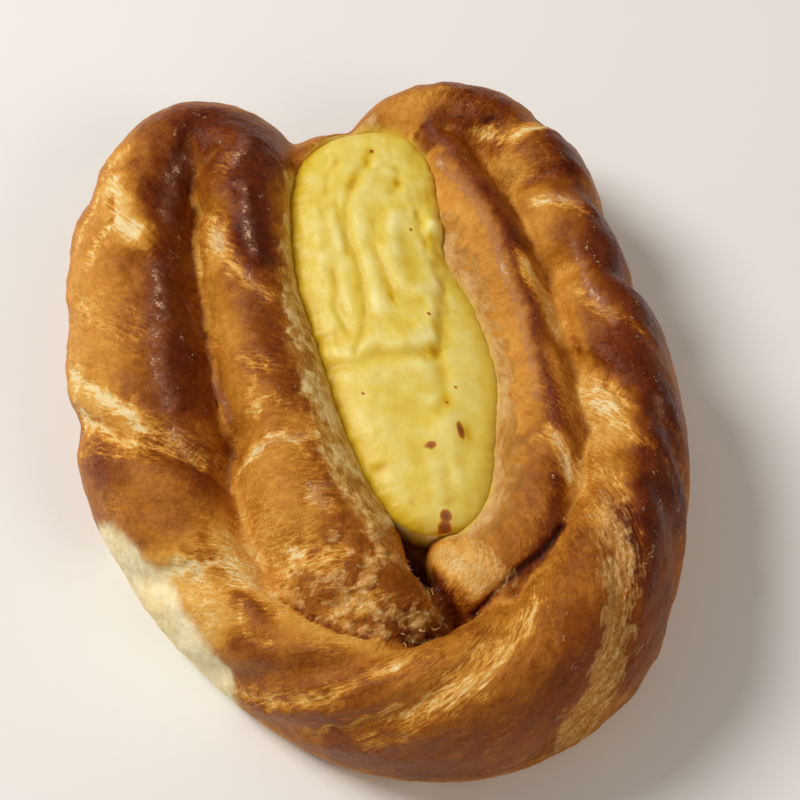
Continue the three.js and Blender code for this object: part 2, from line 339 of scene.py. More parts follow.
points = read(rope_mesh, "position", 3) / MM
angle = read(rope_mesh, "angle")
travel = read(rope_mesh, "travel")
side = read(rope_mesh, "side", 3)
lift = fold_lift(travel, angle)
points += side * (np.cos(angle) * lift)[:, None]
points[:, 2] += np.sin(angle) * lift
write(rope_mesh, "position", points * MM)
print(f"folds move the skin by {lift.min():.1f} to {lift.max():.1f} mm")

# %% [markdown]
# ## The custard's outline
# The custard fills the gap between the inner strands. Its outline is needed first, because the
# dough slopes down to it. Rows give a place along the gap, the middle of the custard there and
# its half-width; both ends are rounded like a superellipse.

# %% Outline of the custard
CUSTARD = np.array([
    # y, middle in x, half-width
    [-29.8, 5.4, 10.8], [-19, 5.2, 10.8], [-2, 6, 13.2], [12, 5, 13.2], [23, 3.3, 12.3],
    [38, 5, 12.9], [52.8, 6.8, 13.3]], float)
END_SHARPNESS = 5.5
BED, EDGE, CROWN = 9.6, 22, 3.6  # heights of its bed and its rim, and its bulge above the rim
RIM_DROP = 0.6  # how far it has settled since it was piped
CUSTARD_NEAR, CUSTARD_FAR = CUSTARD[0, 0], CUSTARD[-1, 0]
FAR_AWAY = 1e9  # further than anything measured here
middle_line = smooth_curve(CUSTARD, 400, True)


def custard_at(share):
    y = CUSTARD_NEAR + (CUSTARD_FAR - CUSTARD_NEAR) * share
    x = np.interp(y, middle_line[:, 0], middle_line[:, 1])
    rounding = np.clip(1 - np.abs(2 * share - 1) ** END_SHARPNESS, 0, 1) ** 0.5
    return x, y, np.interp(y, middle_line[:, 0], middle_line[:, 2]) * rounding, rounding


OUTLINE_STEPS = 120
half_turns = (1 - np.cos(np.linspace(0, math.pi, OUTLINE_STEPS))) / 2
x, y, half, _ = custard_at(half_turns)
outline = np.vstack([np.column_stack([x + half, y]), np.column_stack([x - half, y])[-2:0:-1]])
print(f"custard outline {np.ptp(outline[:, 0]):.1f} x {np.ptp(outline[:, 1]):.1f} mm")


# %% Distance from a line of places, and from the outline
def line_distance(x, y, places):
    best = np.full(len(x), FAR_AWAY)
    for (x0, y0), (x1, y1) in zip(places, places[1:]):
        dx, dy = x1 - x0, y1 - y0
        share = np.clip(((x - x0) * dx + (y - y0) * dy) / (dx * dx + dy * dy), 0, 1)
        best = np.minimum(best, np.hypot(x - x0 - share * dx, y - y0 - share * dy))
    return best


def distance_to_outline(points):
    x, y = points[:, 0], points[:, 1]
    closed = np.vstack([outline, outline[:1]])
    inside = np.zeros(len(points), bool)
    for (x0, y0), (x1, y1) in zip(closed, closed[1:]):
        crosses = (y0 > y) != (y1 > y)
        inside ^= crosses & (x < x0 + (x1 - x0) * (y - y0) / ((y1 - y0) or 1))
    return np.where(inside, -1, 1) * line_distance(x, y, closed)


centre = outline.mean(axis=0, keepdims=True)
print(f"the outline's middle lies {-distance_to_outline(centre)[0]:.1f} mm inside it")

# %% [markdown]
# ## One body of dough
# In the oven the strands grow together. A voxel remesh does the same: it wraps all the closed
# shells in one skin of even squares, which then takes fine relief well. A boolean union would
# keep the long thin faces of the sweep and leave hard seams where strands meet.

# %% Closed shells
DOME_LEVELS = np.linspace(-0.98, 0.98, 25)  # rings of a dome, as shares of its height


def closed_shell(rings):
    count = len(rings[0])
    faces = [tuple(range(count))[::-1]]
    for level in range(len(rings) - 1):
        for i in range(count):
            j = (i + 1) % count
            low, high = level * count, (level + 1) * count
            faces.append((low + i, low + j, high + j, high + i))
    faces.append(tuple((len(rings) - 1) * count + i for i in range(count)))
    return np.vstack(rings), faces


def ellipse(x, y, half_x, half_y, z, count=96):
    around = np.linspace(0, 2 * math.pi, count, endpoint=False)
    return np.column_stack([x + half_x * np.cos(around), y + half_y * np.sin(around),
                            np.full(count, float(z))])


def drum(x, y, half_x, half_y, heights):
    return closed_shell([ellipse(x, y, half_x, half_y, z) for z in heights])


def dome(x, y, half_x, half_y, z, half_z):
    widths = [math.cos(math.asin(v)) for v in DOME_LEVELS]
    return closed_shell([ellipse(x, y, half_x * wide, half_y * wide, z + half_z * v)
                         for v, wide in zip(DOME_LEVELS, widths)])


def plain_copy(mesh):
    return read(mesh, "position", 3) / MM, [tuple(p.vertices) for p in mesh.polygons]


# %% Join the strands, the base and the saddle behind the custard
JOIN_VOXEL, SKIN_VOXEL = 0.75, 0.7  # squares of the first skin and of the finished one
shells = {
    "rope": plain_copy(rope_mesh),
    "floor": drum(0, -3, 40, 50, (0, 4.5, 9)),
    "saddle behind the custard": dome(2, 49.5, 14, 8.5, 10, 14),
    "bed": closed_shell([np.column_stack([outline, np.full(len(outline), z)])
                         for z in (1.0, 8.0, 14.0)]),
    "tuck under the torn end": drum(0.5, -37, 5.5, 8, (1.0, 8.0, 13.5)),
    "tongue before the custard": dome(6.4, -34.5, 5.6, 9, 10, 13.4),
}
all_points, all_faces, offset = [], [], 0
for shell_points, shell_faces in shells.values():
    all_points.append(shell_points)
    all_faces += [tuple(i + offset for i in face) for face in shell_faces]
    offset += len(shell_points)
raw = mesh_object("dough shells", np.vstack(all_points) * MM, all_faces)


def remeshed(source, voxel):
    modifier = source.modifiers.new("skin", "REMESH")
    modifier.mode = "VOXEL"
    modifier.voxel_size = voxel * MM
    return evaluated_mesh(source, modifier)


joined = remeshed(raw, JOIN_VOXEL)
print(f"joined {', '.join(shells)}: {len(joined.vertices)} points")

# %% [markdown]
# ## The trough for the custard
# From the top of each inner strand the dough slopes down to the custard's rim and under it. The
# trough is open upwards, so it is one rule: no point of the dough may be higher than the trough
# allows there. A smooth minimum of the two heights rounds the top of the slope.

# %% Sink the trough and flatten the base
SLOPE_RISE = 10.5  # height the dough gains above the rim on its way to the top of a strand
SLOPE_ROUNDING = 3.0  # how softly the slope meets the top of a strand
LEFT_RUNS, RIGHT_RUN = (4.2, 2.8), 6.2  # how far out it gains it: left near and far, and right
LIP, WALL_STEEPNESS = 0.3, 4  # ledge above the trough's wall, and how steep that wall is


def trough_height(points):
    out = distance_to_outline(points)
    inside = np.maximum(BED, EDGE - 1 + WALL_STEEPNESS * (out + LIP))
    left_run = np.interp(points[:, 1], [-25, 30], LEFT_RUNS)
    run = left_run + (RIGHT_RUN - left_run) * smoothstep(points[:, 0], 0, 8)
    outside = EDGE - RIM_DROP + SLOPE_RISE * (1 - np.exp(-np.maximum(out, 0) / run))
    return np.where(out < -LIP, inside, outside + np.minimum(out, 0))


def sunk(points):
    height, limit = points[:, 2], trough_height(points[:, :2])
    near = np.clip(SLOPE_ROUNDING - np.abs(height - limit), 0, None) / SLOPE_ROUNDING
    lowest = np.minimum(height, limit) - near ** 2 * SLOPE_ROUNDING / 4
    return np.where(height > BED - 1, lowest, height)


points = read(joined, "position", 3) / MM
points[:, 2] = np.maximum(sunk(points), 0)
write(joined, "position", points * MM)
raw.data = joined
dough_mesh = remeshed(raw, SKIN_VOXEL)
points = read(dough_mesh, "position", 3) / MM
print(f"dough skin: {len(points)} points, {points[:, 2].max():.1f} mm high")

# %% [markdown]
# ## Where each point of the skin is on the rope
# Browning and cracks run along and round the rope, so each point of the skin looks up the
# nearest place on the swept rope: how far along it is and its angle round it. Together they are
# a map of the crust, with the grain of the twisted strips straightened out.

# %% Look up rope places
GIRTH = 12.0  # millimetres round the rope for each radian


def rope_places(points):
    shell, polygons = plain_copy(rope_mesh)
    polygons = [corners for corners in polygons if len(corners) == 4]
    search = BVHTree.FromPolygons([tuple(p) for p in shell], polygons)
    hit = [search.find_nearest(Vector(p)) for p in points]
    where = np.array([tuple(h[0]) for h in hit])
    face = np.array(polygons)[[h[2] for h in hit]]
    weight = 1 / (np.linalg.norm(shell[face] - where[:, None], axis=2) ** 2 + 1e-4)
    weight /= weight.sum(1, keepdims=True)
    round_it = angle[face]
    over_the_seam = (np.ptp(round_it, axis=1)[:, None] > math.pi) & (round_it < TOP)
    round_it = np.where(over_the_seam, round_it + 2 * math.pi, round_it)
    off = np.array([h[3] for h in hit])
    return (travel[face] * weight).sum(1), (round_it * weight).sum(1), off


def along_rope(rows):
    return np.interp(travel_here, *zip(*rows))


travel_here, angle_here, off_rope = rope_places(points)
degrees = np.degrees(angle_here)
lean_here = along_rope([fold[:2] for fold in FOLDS])
grain_across = travel_here - lean_here * (angle_here - TOP)
grain_along = (angle_here - TOP) * GIRTH
print(f"furthest from the swept rope: {off_rope.max():.1f} mm")

# %% [markdown]
# ## Cracks, slits and torn bands
# Where a strip of dough has pulled away, the skin tears and the pale inside shows. Each crack is
# a short line on the rope map. The skin sinks along it, its edges wander with a noise, and the
# same measure later makes it pale; a crack with a negative paleness is a slit, darkened with
# painted shade instead.

# %% Crack lines on the rope map
CRACKS = [
    # half-width, depth, paleness, then places: millimetres along and degrees round
    (1.2, 0.4, 0.8, [(130, 66), (137, 78), (142, 94)]), (1.0, 0.3, 0.8, [(141, 72), (147, 58)]),
    (0.6, 1.3, -0.6, [(134.5, 71), (138.5, 76)]),
    (1.0, 0.3, 0.7, [(124, 60), (132, 52), (140, 40)]),
    (1.2, 0.6, 0.9, [(164, 30), (170, 52), (179, 84), (186, 116)]),
    (1.1, 0.5, 0.9, [(170, 24), (177, 46), (182, 74), (188, 118)]),
    (0.8, 0.4, 0.7, [(176, 22), (180, 44), (184, 70)]), (0.6, 0.3, 0.6, [(150, 40), (158, 62)]),
    (0.9, 0.5, 0.8, [(201, 44), (205, 70), (208, 108)]), (0.6, 0.5, -0.3, [(203, 76), (205, 88)]),
    (1.4, 0.3, 0.7, [(206, 100), (220, 102)]),
    (1.1, 0.7, 0.9, [(220, 5), (226, 24), (233, 48), (238, 78), (244, 98)]),
    (0.8, 0.5, 0.8, [(231, 8), (238, 34), (245, 56), (254, 82), (262, 98)]),
    (0.8, 0.4, 0.7, [(240, 20), (250, 58), (256, 68)]),
    (0.6, 0.4, 0.7, [(214, 84), (218, 64), (222, 72)]),
    (0.9, 0.5, 0.9, [(244, 44), (250, 62), (256, 80), (264, 96), (270, 116)]),
    (0.7, 0.3, 0.7, [(250, 82), (258, 100), (266, 112)]),
    (2.5, 0.6, 0.9, [(266, 0), (271, 30), (276, 56), (282, 76), (292, 106)]),
    (0.8, 0.4, 0.7, [(286, 62), (292, 84), (298, 108)]),
    (0.7, 0.4, 0.7, [(302, 52), (306, 82), (311, 112)]), (1.6, 0.4, 0.8, [(312, 108), (317, 122)]),
    (2.2, 0.3, 0.9, [(491, 40), (492, 110)]), (0.7, 1.3, 0.8, [(312, 96), (320, 122)]),
    (0.8, 0.4, 0.7, [(324, 64), (330, 92), (338, 112)]), (0.7, 0.4, 0.6, [(310, 40), (312, 66)]),
    (0.8, 0.6, 0.9, [(352, 70), (355, 92), (359, 114)]), (0.6, 0.5, -0.2, [(363, 66), (364, 118)]),
    (1.2, 0.5, 0.9, [(372, 62), (374, 88), (376, 116)]), (1.8, 0.5, 0.9, [(379, 112), (382, 120)]),
    (0.6, 0.7, -0.5, [(380, 98), (381, 104)]), (0.9, 0.5, 0.9, [(43, 80), (43.5, 104), (43, 146)]),
    (1.2, 0.4, 0.9, [(71, 84), (76, 100), (82, 114), (90, 128)]),
    (0.9, 0.4, 0.8, [(82, 120), (87, 112)]), (0.6, 0.3, 0.7, [(48, 92), (52, 106), (50, 120)]),
    (0.6, 0.3, 0.7, [(56, 88), (60, 100)]), (0.6, 0.3, 0.7, [(50, 112), (60, 108)]),
    (0.8, 0.3, 0.7, [(56, 94), (61, 112)]), (0.8, 0.3, 0.8, [(98, 104), (102, 92)]),
    (0.8, 0.3, 0.45, [(80, 150), (90, 140)]), (1.4, 0.5, 0.9, [(466, 92), (469, 104), (471, 120)]),
    (0.7, 0.3, 0.7, [(429, 104), (436, 130)]), (0.6, 0.3, 0.7, [(433, 102), (441, 130)]),
    (0.6, 0.3, 0.6, [(438, 104), (446, 130)]), (1.4, 0.5, 0.8, [(12, 96), (14, 118)]),
    (1.8, 0.4, 0.9, [(20, 104), (24, 120)]),
    (0.7, 0.3, 0.7, [(30, 84), (33, 92), (30, 98), (28, 90)]),
]

# %% Lay the cracks
WIDE_TEAR = 1.9  # a tear with a wider half than this shows open crumb


def fractal(x, y, z, octaves=4):
    return np.array([noise.fractal(p, 0.8, 2.0, octaves) for p in zip(x, y, z)])


def skin_noise(size, shift=0, octaves=4):
    x, y, z = points.T / size
    return fractal(x, y, z + shift, octaves)


wander = skin_noise(2.2)
sway_along, sway_round = (1.5 * skin_noise(4.5, shift, 3) for shift in (20, 40))


def map_distance(places, swaying=0.0):
    flat = [(place, math.radians(turned) * GIRTH) for place, turned in places]
    return line_distance(travel_here + swaying * sway_along,
                         np.radians(degrees) * GIRTH + swaying * sway_round, flat)


cracked, porous, crevice_shade, crack_depth = (np.zeros(len(points)) for _ in range(4))
for half_width, depth, pale, places in CRACKS:
    off = np.clip(map_distance(places, 1.0) * (1 + 0.6 * wander) / half_width, 0, 9)
    shown = porous if half_width > WIDE_TEAR else cracked
    # a negative paleness marks a slit, which is darkened with painted shade
    if pale < 0:
        shown = crevice_shade
    np.maximum(shown, abs(pale) * np.exp(-(off / 1.5) ** 2), out=shown)
    crack_depth = np.maximum(crack_depth, depth * np.exp(-off ** 2))
print(f"{len(CRACKS)} cracks, {np.mean(np.maximum(cracked, porous) > 0.4):.0%} of the skin is torn")

# %% [markdown]
# ## How brown each place is
# Browning goes with heat and egg wash: thin edges and high ridges are darkest, the sides against
# the tray stay pale. Each row is one stroke of a wide soft brush on the rope map: how brown the
# place becomes, half the brush's width, and the stroke's way. One number from 0, raw cream, to 1,
# nearly black, is kept at every point, and the colour is chosen from it later.

# %% Strokes of browning
STROKES = [
    # how brown, half-width, then places: millimetres along and degrees round
    (0.66, 2.8, [(12, 84), (22, 86), (30, 83), (40, 80)]), (0.72, 4, [(3, 92), (8, 104)]),
    (0.62, 4, [(14, 100), (19, 122), (25, 112)]), (0.34, 6, [(28, 128), (34, 132), (41, 128)]),
    (0.42, 5, [(30, 112), (40, 112)]), (0.45, 5, [(47, 112), (56, 118)]),
    (0.62, 3, [(45, 150), (60, 147), (78, 140)]), (0.6, 4, [(58, 100), (68, 102), (78, 112)]),
    (0.42, 4, [(66, 124), (76, 132)]), (0.74, 2.8, [(50, 83), (58, 86), (66, 88), (74, 84)]),
    (0.34, 2.2, [(80, 126), (86, 118)]), (0.97, 3.6, [(79, 80), (86, 82), (93, 84), (101, 78)]),
    (0.94, 3, [(84, 93), (92, 98), (99, 95)]), (0.5, 4, [(91, 116), (98, 122)]),
    (0.74, 9, [(104, 112), (116, 106), (127, 112)]), (0.9, 5, [(102, 72), (108, 78), (116, 88)]),
    (0.9, 6, [(118, 142), (130, 138), (142, 143)]),
    (0.84, 5, [(120, 118), (132, 118), (143, 124)]), (0.86, 4, [(121, 102), (130, 106)]),
    (0.7, 4, [(120, 84), (126, 86)]), (0.72, 4, [(140, 112), (147, 104)]),
    (0.98, 7, [(150, 120), (160, 119), (170, 119), (177, 122)]),
    (0.78, 6, [(148, 140), (165, 142), (182, 136)]), (0.84, 4, [(150, 104), (160, 97), (172, 98)]),
    (0.64, 3, [(148, 92), (160, 86), (173, 90)]),
    (0.42, 6, [(126, 58), (140, 56), (155, 60), (166, 62)]),
    (0.36, 5, [(142, 38), (155, 36), (165, 34)]), (0.2, 3, [(131, 68), (137, 80), (142, 92)]),
    (0.26, 3, [(166, 30), (172, 52), (180, 80), (187, 112)]), (0.55, 4, [(182, 132), (192, 130)]),
    (0.53, 7, [(182, 38), (187, 56), (192, 76), (196, 94)]),
    (0.78, 3.6, [(183, 92), (188, 110), (192, 118)]), (0.72, 3, [(179, 34), (184, 54)]),
    (0.56, 5, [(199, 56), (198, 78)]), (0.62, 3, [(202, 92), (204, 104)]),
    (0.22, 5, [(205, 116), (216, 112)]), (0.32, 5, [(222, 108), (236, 112)]),
    (0.32, 4, [(203, 58), (208, 78), (213, 70)]), (0.22, 4, [(203, 50), (207, 58), (213, 50)]),
    (0.72, 2.6, [(214, 90), (218, 91)]), (0.7, 2.6, [(219, 56), (222, 58)]),
    (0.64, 5.5, [(223, 44), (230, 50), (237, 64)]), (0.62, 5, [(226, 26), (234, 28)]),
    (0.7, 5, [(238, 16), (248, 12)]), (0.62, 4, [(230, 76), (238, 84)]),
    (0.5, 4, [(247, 84), (256, 98)]), (0.56, 4, [(262, 96), (271, 102)]),
    (0.64, 3, [(276, 104), (287, 114)]), (0.54, 8, [(254, 42), (264, 60), (271, 76)]),
    (0.72, 5, [(261, 22), (267, 48), (273, 70)]), (0.68, 7, [(248, 6), (260, 4)]),
    (0.3, 2.4, [(281, 76), (291, 108)]), (0.74, 8, [(284, 34), (292, 60), (299, 74)]),
    (0.93, 5, [(285, 68), (295, 84), (304, 93)]), (0.92, 6, [(300, 46), (305, 70)]),
    (0.74, 5, [(276, 26), (281, 40)]), (0.62, 3, [(296, 99), (306, 101)]),
    (0.42, 4, [(298, 112), (306, 120)]), (0.26, 4, [(308, 110), (313, 116), (319, 122)]),
    (0.36, 5, [(325, 120), (336, 122)]), (0.93, 5, [(312, 54), (319, 76), (323, 90)]),
    (0.84, 5, [(326, 96), (335, 88), (346, 86)]), (0.9, 6, [(330, 62), (345, 60), (352, 66)]),
    (0.62, 3, [(330, 106), (346, 106)]), (0.4, 4, [(340, 121), (352, 119)]),
    (0.62, 3, [(350, 102), (352, 94)]), (0.4, 3, [(358, 108), (362, 126)]),
    (0.68, 3, [(358, 74), (360, 90)]), (0.74, 2.0, [(363, 66), (364, 116)]),
    (0.88, 5, [(366, 72), (371, 76)]), (0.68, 3, [(367, 96), (370, 102)]),
    (0.34, 3, [(367, 124), (373, 128)]), (0.32, 1.8, [(373, 64), (374, 104)]),
    (0.8, 3, [(377, 116), (380, 128), (385, 118)]), (0.34, 2.4, [(379, 114), (382, 120)]),
    (0.84, 6, [(384, 96), (389, 110)]), (0.8, 5, [(382, 80), (390, 82)]),
    (0.6, 4, [(393, 100), (396, 94)]), (0.86, 5, [(399, 106), (404, 106), (412, 106), (424, 106)]),
    (0.94, 3, [(408, 104), (424, 106)]), (0.76, 2.4, [(400, 91), (412, 90), (426, 92)]),
    (0.66, 4, [(404, 124), (420, 126)]),
    (0.88, 4.4, [(426, 100), (436, 98), (449, 97), (460, 101)]), (0.92, 2, [(430, 90), (448, 90)]),
    (0.94, 3.4, [(450, 94), (456, 98), (462, 104)]),
    (0.28, 2.6, [(432, 112), (436, 122), (444, 128)]), (0.5, 4, [(449, 116), (460, 120)]),
    (0.86, 3, [(456, 84), (464, 92)]), (0.3, 1.8, [(466, 96), (470, 114)]),
    (0.93, 4, [(474, 96), (481, 103), (487, 108)]), (0.72, 4, [(488, 94), (491, 106)]),
    (0.42, 3.4, [(392, 76), (404, 78)]), (0.42, 2.8, [(408, 79), (430, 80), (446, 79), (462, 76)]),
    (0.56, 3, [(466, 76), (476, 78)]),
    (0.34, 3, [(396, 70), (412, 66), (430, 64), (450, 62), (462, 64)]),
    (0.6, 2.6, [(470, 80), (480, 84), (488, 86)]), (0.4, 3.4, [(470, 66), (480, 70), (488, 74)]),
    (0.58, 4, [(476, 86), (486, 92), (492, 96)]), (0.3, 2.4, [(492, 112), (493, 50)]),
]

# %% [markdown]
# ## Where the egg wash catches the light: painted glints
# The wash dries to a thin skin that gathers on ridges and in the valleys between strands. A clear
# coat over the whole crust would veil the dark brown with grey, so glints are painted into the
# colour along lines on the rope map, where the wash is thickest: a painted sheen with pale specks.

# %% Lines of painted glints
GLINTS = [
    # half-width, then places: millimetres along and degrees round
    (1.5, [(119, 118), (128, 120), (137, 122)]), (1.3, [(148, 110), (157, 108), (164, 104)]),
    (1.3, [(165, 103), (177, 103)]), (1.0, [(181, 103), (186, 110)]),
    (0.8, [(141, 149), (148, 149)]), (0.8, [(154, 140), (160, 141)]),
    (0.8, [(186, 148), (198, 142)]), (1.0, [(71, 86), (76, 94)]), (1.2, [(83, 114), (88, 120)]),
    (0.7, [(80, 86), (86, 92), (95, 92)]), (0.9, [(100, 95), (104, 84)]),
    (0.7, [(403, 86), (420, 86), (432, 82), (446, 83), (457, 80)]),
    (0.8, [(329, 95), (338, 104), (347, 100)]), (0.9, [(309, 62), (314, 67)]),
    (0.7, [(52, 140), (62, 147)]), (0.8, [(43, 84), (43, 120)]), (0.8, [(355, 78), (358, 104)]),
    (0.8, [(29, 90), (33, 93), (32, 84)]), (1.0, [(466, 94), (470, 110)]),
]

# %% Brush the browning on
EVEN_BROWN = 0.52  # how brown the crust is where no stroke passes


def soft_lines(rows, distance):
    shown = np.zeros(len(points))
    for half_width, places in rows:
        off = distance(places) * (1 + 0.5 * wander) / half_width
        shown = np.maximum(shown, np.exp(-np.clip(off, 0, 5) ** 2))
    return shown


glints = soft_lines(GLINTS, map_distance)
bake = EVEN_BROWN + 0.08 * skin_noise(9, 7, 3)
for brown, half_width, places in STROKES:
    off = np.clip(map_distance(places) * (1 + 0.35 * wander) / half_width, 0, 6)
    bake += (brown - bake) * np.exp(-off ** 2.4)
print(f"{len(STROKES)} strokes, browning from {bake.min():.2f} to {bake.max():.2f}")

# %% [markdown]
# ## Pale dough: the side that the heat missed and the slopes to the custard
# Along the outer near-left side the rope rose after the wash was on, so a band of raw-looking
# cream dough shows above the tray. The slopes that face the custard stayed damp and are pale too.

# %% Cream band and slopes
CREAM_EDGE = [
    # place along the rope, and how many degrees up its side the cream reaches
    (184, -10), (190, 26), (196, 38), (205, 42), (212, 36), (217, 24), (221, -10)]
DAMP_EDGE = [
    # place along the rope, and the degrees below which the slope is damp
    (4, 50), (14, 80), (40, 76), (70, 66), (88, 54), (104, 30), (380, 30), (410, 60), (460, 60),
    (470, 74), (492, 80)]
SLOPES_MEET = 4  # x between the slope on the left and the one on the right

cream = smoothstep(along_rope(CREAM_EDGE) + 3 * wander - degrees, -9, 5)
cream *= smoothstep(travel_here, 182, 187) * (1 - smoothstep(travel_here, 217, 221))
cream *= smoothstep(degrees, -80, -60)
out_here = distance_to_outline(points[:, :2])
below_slope = points[:, 2] - trough_height(points[:, :2])
on_slope = smoothstep(below_slope, -2.6, -0.6) * smoothstep(points[:, 2], 17, 20)
on_slope *= smoothstep(8.5 - out_here, 0, 3)
ragged = skin_noise(4, 4, 3)
damp = on_slope * smoothstep(along_rope(DAMP_EDGE) + 6 * wander + 16 * ragged - degrees, -10, 8)
soaked = on_slope * (1 - smoothstep(out_here + 0.6 * wander, 0.5, 1.8))
left_slope = damp * (points[:, 0] < SLOPES_MEET)
right_slope = damp * (points[:, 0] >= SLOPES_MEET)
print(f"cream band {np.mean(cream > 0.5):.1%}, slopes {np.mean(on_slope > 0.5):.1%} of the skin")

# %% [markdown]
# ## Pinched lines and frayed edges
# Two torn ends were tucked against their neighbours. The line where they meet is pressed in and
# darkened with painted shade. The lines follow the tray and not the rope, so they are drawn in x
# and y. Beside them the crumb is frayed: those edges will carry small shreds.

# %% Lines where torn ends are pressed into their neighbours
PINCHES = [
    # half-width, then places in x, y
    (0.45, [(6.2, -44.8), (10.8, -43), (14.6, -41), (17.4, -39.5), (19.3, -38.6), (21.5, -36.8),
            (23.9, -34.5)]),
    (0.3, [(-23.5, -36.5), (-20, -41.5), (-15.5, -45.5), (-11, -47.6)]),
    (1.1, [(-2.6, -24.6), (-1.2, -27.6), (-0.4, -30.5), (0.4, -34), (1.5, -38), (2.9, -42),
           (4.4, -45)]),
]
FRAYED_LINES = [
    [(-23.5, -37.5), (-16, -47), (-6, -49.5), (3, -47.5)], [(-1, -33), (0.6, -38), (3.2, -44.6)],
    [(-29, -29), (-24.5, -35.5)],
]
CRUMB_LINE = [(4.2, -33.5), (5.8, -37), (8.6, -41)]
INNER_RIGHT = 300  # the inner right strand lies past this place along the rope


def plan_distance(places):
    return line_distance(points[:, 0], points[:, 1], places)


def round_spot(x, y, reach_x, reach_y):
    return np.hypot((points[:, 0] - x) / reach_x, (points[:, 1] - y) / reach_y)


height = points[:, 2]
pinch = soft_lines(PINCHES, plan_distance) * smoothstep(height, 8, 12)
frayed = np.max([np.exp(-plan_distance(places) ** 2) for places in FRAYED_LINES], axis=0)
frayed *= smoothstep(height, 15, 18) * smoothstep(35 - travel_here, 0, 3)
# a thin line of painted shade at the foot of the torn tip, pressed in a little as well
under_tip = np.exp(-round_spot(-3, -48.8, 5, 1.3) ** 2)
crumbed = np.exp(-(plan_distance(CRUMB_LINE) / 2.4) ** 4) * smoothstep(height, 13, 16)
crumbed *= (1 - np.clip(1.2 * pinch, 0, 1)) * (travel_here > INNER_RIGHT)
print(f"pinched {np.mean(pinch > 0.5):.2%}, frayed {np.mean(frayed > 0.5):.2%} of the skin")

# %% [markdown]
# ## The torn end
# The inner left strand ends where the rope was pulled off. Its crumb is open and lumpy, a smooth
# flap of crust has folded back over it, and steam has blown three small bubbles beside it. Each
# of them is a soft round spot, so one rule of distance makes them all.

# %% Shape the torn end
TORN_LENGTH = 30  # how far the tear reaches along the rope
STEAM_BUBBLES = [
    # x, y, reach, height
    (-14.9, -34.6, 1.7, 1.0), (-11.3, -36.2, 1.3, 0.8), (-17.6, -33.4, 1.2, 0.6)]

torn_end = smoothstep(TORN_LENGTH + 4 * wander - travel_here, 0, 12) * smoothstep(degrees, 28, 50)
torn_end *= smoothstep(176 - degrees, 0, 12)
flap = np.exp(-round_spot(-4.6, -39.8, 3.8, 3.4) ** 4) * (travel_here < 40)
torn_end *= 1 - 0.85 * flap
bubbles = sum(swell * np.exp(-round_spot(x, y, reach, reach) ** 2)
              for x, y, reach, swell in STEAM_BUBBLES) * smoothstep(height, 18, 22)
print(f"torn end {np.mean(torn_end > 0.5):.1%} of the skin, bubbles up to {bubbles.max():.1f}")

# %% [markdown]
# ## Fine relief
# The skin is moved along its own direction by the cracks, by slow lumps where steam pushed it up
# and by wrinkles that follow the grain. This is real relief in the mesh; only what is finer than
# the squares of the skin is left to the material.

# %% Move the skin
LUMPS, WRINKLES, BLISTERS = 0.28, 0.16, 0.07  # height of each kind of relief
RESTING_BELOW = 0.35  # what lies lower than this and faces down is pressed flat on the tray

outwards = read(dough_mesh, "normal", 3)
lumps = skin_noise(6, 3, 2)
wrinkles = fractal(grain_across / 2.4, grain_along / 7, 0 * grain_along + 2)
blisters = skin_noise(1.6, 5, 3)
clumps = skin_noise(2.6, 8, 3)
crust = smoothstep(height, 2, 6) * (1 - 0.7 * on_slope)
raise_by = crust * (LUMPS * lumps + WRINKLES * wrinkles + BLISTERS * blisters)
raise_by += on_slope * 0.1 * blisters + cream * 0.12 * blisters
raise_by += torn_end * crust * (1.3 * np.abs(clumps) - 0.4 + 0.45 * np.abs(blisters))
raise_by += 0.8 * bubbles - crack_depth * crust
raise_by -= 0.7 * np.maximum(pinch, 0.8 * under_tip) * crust
raise_by -= porous * 0.3 * np.abs(blisters) * crust
points = points + outwards * raise_by[:, None]
resting = (points[:, 2] < RESTING_BELOW) & (outwards[:, 2] < -0.7)
points[resting, 2] = 0
points[:, 2] = np.maximum(points[:, 2], 0)
write(dough_mesh, "position", points * MM)
print(f"relief from {raise_by.min():.2f} to {raise_by.max():.2f} mm")

# %% [markdown]
# ## Creases and the maps of the crust
# In the valleys between strands the skin bends inwards and stays paler, and painted glints gather
# there. Comparing each point with the mean of its neighbours finds those places without any list.
# After that every measure is kept on the skin as a named attribute, for the crust's finish to read.

# %% Find the creases between strands
def neighbour_mean(mesh, values):
    ends = np.empty(len(mesh.edges) * 2, np.int64)
    mesh.edges.foreach_get("vertices", ends)
    ends = ends.reshape(-1, 2)
    total = np.zeros_like(values)
    count = np.zeros(len(values))
    for a, b in ((0, 1), (1, 0)):
        np.add.at(total, ends[:, a], values[ends[:, b]])
        np.add.at(count, ends[:, a], 1)
    return total / np.maximum(count, 1).reshape(-1, *([1] * (values.ndim - 1)))


def blurred(mesh, values, times):
    for _ in range(times):
        values = neighbour_mean(mesh, values)
    return values


bent_in = ((neighbour_mean(dough_mesh, points) - points) * outwards).sum(1)
bent_in = blurred(dough_mesh, bent_in, 10)
crease = smoothstep(bent_in, 0.006, 0.03) * smoothstep(points[:, 2], 8, 16)
print(f"creases {np.mean(crease > 0.5):.1%} of the skin, bend {np.ptp(bent_in):.3f}")

# %% Keep the maps of the crust on the skin
def shade_smooth(mesh):
    mesh.polygons.foreach_set("use_smooth", [True] * len(mesh.polygons))


